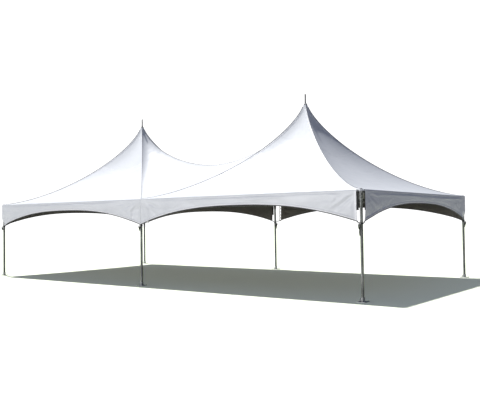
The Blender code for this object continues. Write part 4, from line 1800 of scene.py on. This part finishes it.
@dataclass(frozen=True)
class Studio:
    """The camera at the photograph's angle, one high sun from the left, soft sky light and a pale floor."""

    place: Point = (11.684, -14.411, 1.613)
    yaw: float = -0.664
    pitch: float = 0.026
    roll: float = -0.013
    lens: float = 47.70
    shift: tuple[float, float] = (0.0257, 0.0084)
    sun_from: Point = (-0.405, 0.14, 0.904)
    sun_strength: float = 4.1
    fill_from: Point = (-0.52, -0.85, 0.05)
    fill_strength: float = 2.62
    sky_light: float = 0.130
    sky_colour: Colour = (0.74, 0.90, 1.42)
    backdrop: float = 1.2
    floor_radius: float = 160.0
    floor_drop: float = 0.0005
    floor_colour: Colour = (1.02, 1.07, 0.86)
    floor_glow: Colour = (0.94, 1.0, 0.93)
    glow_strength: float = 0.07
    floor_bounce: Colour = (0.250, 0.242, 0.240)

    def make_camera(self) -> None:
        """Place the camera and make it the scene's own."""
        ahead = Vector((math.sin(self.yaw) * math.cos(self.pitch), math.cos(self.yaw) * math.cos(self.pitch),
                        math.sin(self.pitch)))
        level = Vector((math.cos(self.yaw), -math.sin(self.yaw), 0.0))
        upward = level.cross(ahead)
        right = math.cos(self.roll) * level + math.sin(self.roll) * upward
        above = -math.sin(self.roll) * level + math.cos(self.roll) * upward
        camera = bpy.data.objects.new("camera", bpy.data.cameras.new("camera"))
        bpy.context.scene.collection.objects.link(camera)
        turn = Matrix((right, above, -ahead)).transposed()
        camera.matrix_world = Matrix.Translation(self.place) @ turn.to_4x4()
        camera.data.sensor_width = 36.0
        camera.data.sensor_fit = "HORIZONTAL"
        camera.data.lens = self.lens
        camera.data.shift_x, camera.data.shift_y = self.shift
        camera.data.clip_end = 500.0
        bpy.context.scene.camera = camera

    def make_lights(self) -> None:
        """The sun, a soft fill from the front, and a sky that lights softly and shows as a white backdrop."""
        for name, way, strength, softness in (("sun", self.sun_from, self.sun_strength, 2.5),
                                              ("fill", self.fill_from, self.fill_strength, 24.0)):
            light = bpy.data.lights.new(name, "SUN")
            light.energy = strength
            light.angle = math.radians(softness)
            lamp = bpy.data.objects.new(name, light)
            bpy.context.scene.collection.objects.link(lamp)
            lamp.rotation_euler = Vector(way).to_track_quat("Z", "Y").to_euler()
        world = bpy.data.worlds.new("sky")
        world.use_nodes = True
        world.node_tree.nodes.clear()
        graph = Graph(world.node_tree)
        seen = graph.add("ShaderNodeLightPath").outputs["Is Camera Ray"]
        soft = graph.add("ShaderNodeBackground", {},
                         {"Color": (*self.sky_colour, 1.0), "Strength": self.sky_light})
        white = graph.add("ShaderNodeBackground", {},
                          {"Color": (1.0, 1.0, 1.0, 1.0), "Strength": self.backdrop})
        mixed = graph.add("ShaderNodeMixShader", {}, {0: seen, 1: soft, 2: white})
        graph.add("ShaderNodeOutputWorld", {}, {"Surface": mixed})
        bpy.context.scene.world = world
        bpy.context.scene.view_settings.view_transform = "Standard"

    def make_floor(self) -> None:
        """A wide pale floor, which the camera and reflections see lighter than the tent's cloth does."""
        mesh = bpy.data.meshes.new("floor")
        builder = bmesh.new()
        bmesh.ops.create_circle(builder, cap_ends=True, segments=96, radius=self.floor_radius)
        builder.to_mesh(mesh)
        builder.free()
        floor = bpy.data.objects.new("floor", mesh)
        floor.location = (0, 0, -self.floor_drop)
        bpy.context.scene.collection.objects.link(floor)
        paint = Paint("pale_floor")
        path = paint.add("ShaderNodeLightPath")
        seen = Value(paint, path.outputs["Is Camera Ray"]).most(Value(paint, path.outputs["Is Glossy Ray"]))
        bright = paint.add("ShaderNodeBsdfDiffuse", {}, {"Color": (*self.floor_colour, 1.0)})
        glow = paint.add("ShaderNodeEmission", {},
                         {"Color": (*self.floor_glow, 1.0), "Strength": self.glow_strength})
        lifted = paint.add("ShaderNodeAddShader", {}, {0: bright, 1: glow})
        quiet = paint.add("ShaderNodeBsdfDiffuse", {}, {"Color": (*self.floor_bounce, 1.0)})
        mixed = paint.add("ShaderNodeMixShader", {}, {0: seen, 1: quiet, 2: lifted})
        paint.add("ShaderNodeOutputMaterial", {}, {"Surface": mixed})
        mesh.materials.append(paint.material)

    def make(self) -> None:
        """Build the whole studio."""
        self.make_camera()
        self.make_lights()
        self.make_floor()


def dress_frame(nodes: dict[str, Object], finishes: Finishes) -> None:
    """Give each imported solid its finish.

    Args:
        nodes: The frame's solids by name.
        finishes: The tent's finishes.
    """
    kinds = {"leg": finishes.tubes[Grain.UPRIGHT], "mast": finishes.tubes[Grain.UPRIGHT],
             "fitting": finishes.fitting, "collar": finishes.fitting, "base": finishes.plate,
             "cable": finishes.rope}
    for name, item in nodes.items():
        kind = name.split("_")[0]
        material = kinds.get(kind, finishes.cloth)
        if kind == "beam":
            material = finishes.tubes[Grain.CROSSWISE if "end" in name else Grain.LENGTHWISE]
        for slot in item.material_slots:
            slot.material = material


def main() -> None:
    """Build the tent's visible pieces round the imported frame."""
    logging.basicConfig(level=logging.INFO, format="%(message)s")
    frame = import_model()
    Studio().make()
    finishes = Finishes()
    shop = Shop()
    growths = Growths()
    canopy = Canopy(finishes, growths, shop)
    cloth = canopy.make_cloth()
    hips = canopy.make_hips() + canopy.make_crown_seams()
    Valances(finishes, growths, shop).make()
    LegTies(finishes, shop).make()
    FrameHardware(finishes, growths, shop).make()
    dress_frame(frame["nodes"], finishes)


if __name__ == "__main__":
    main()
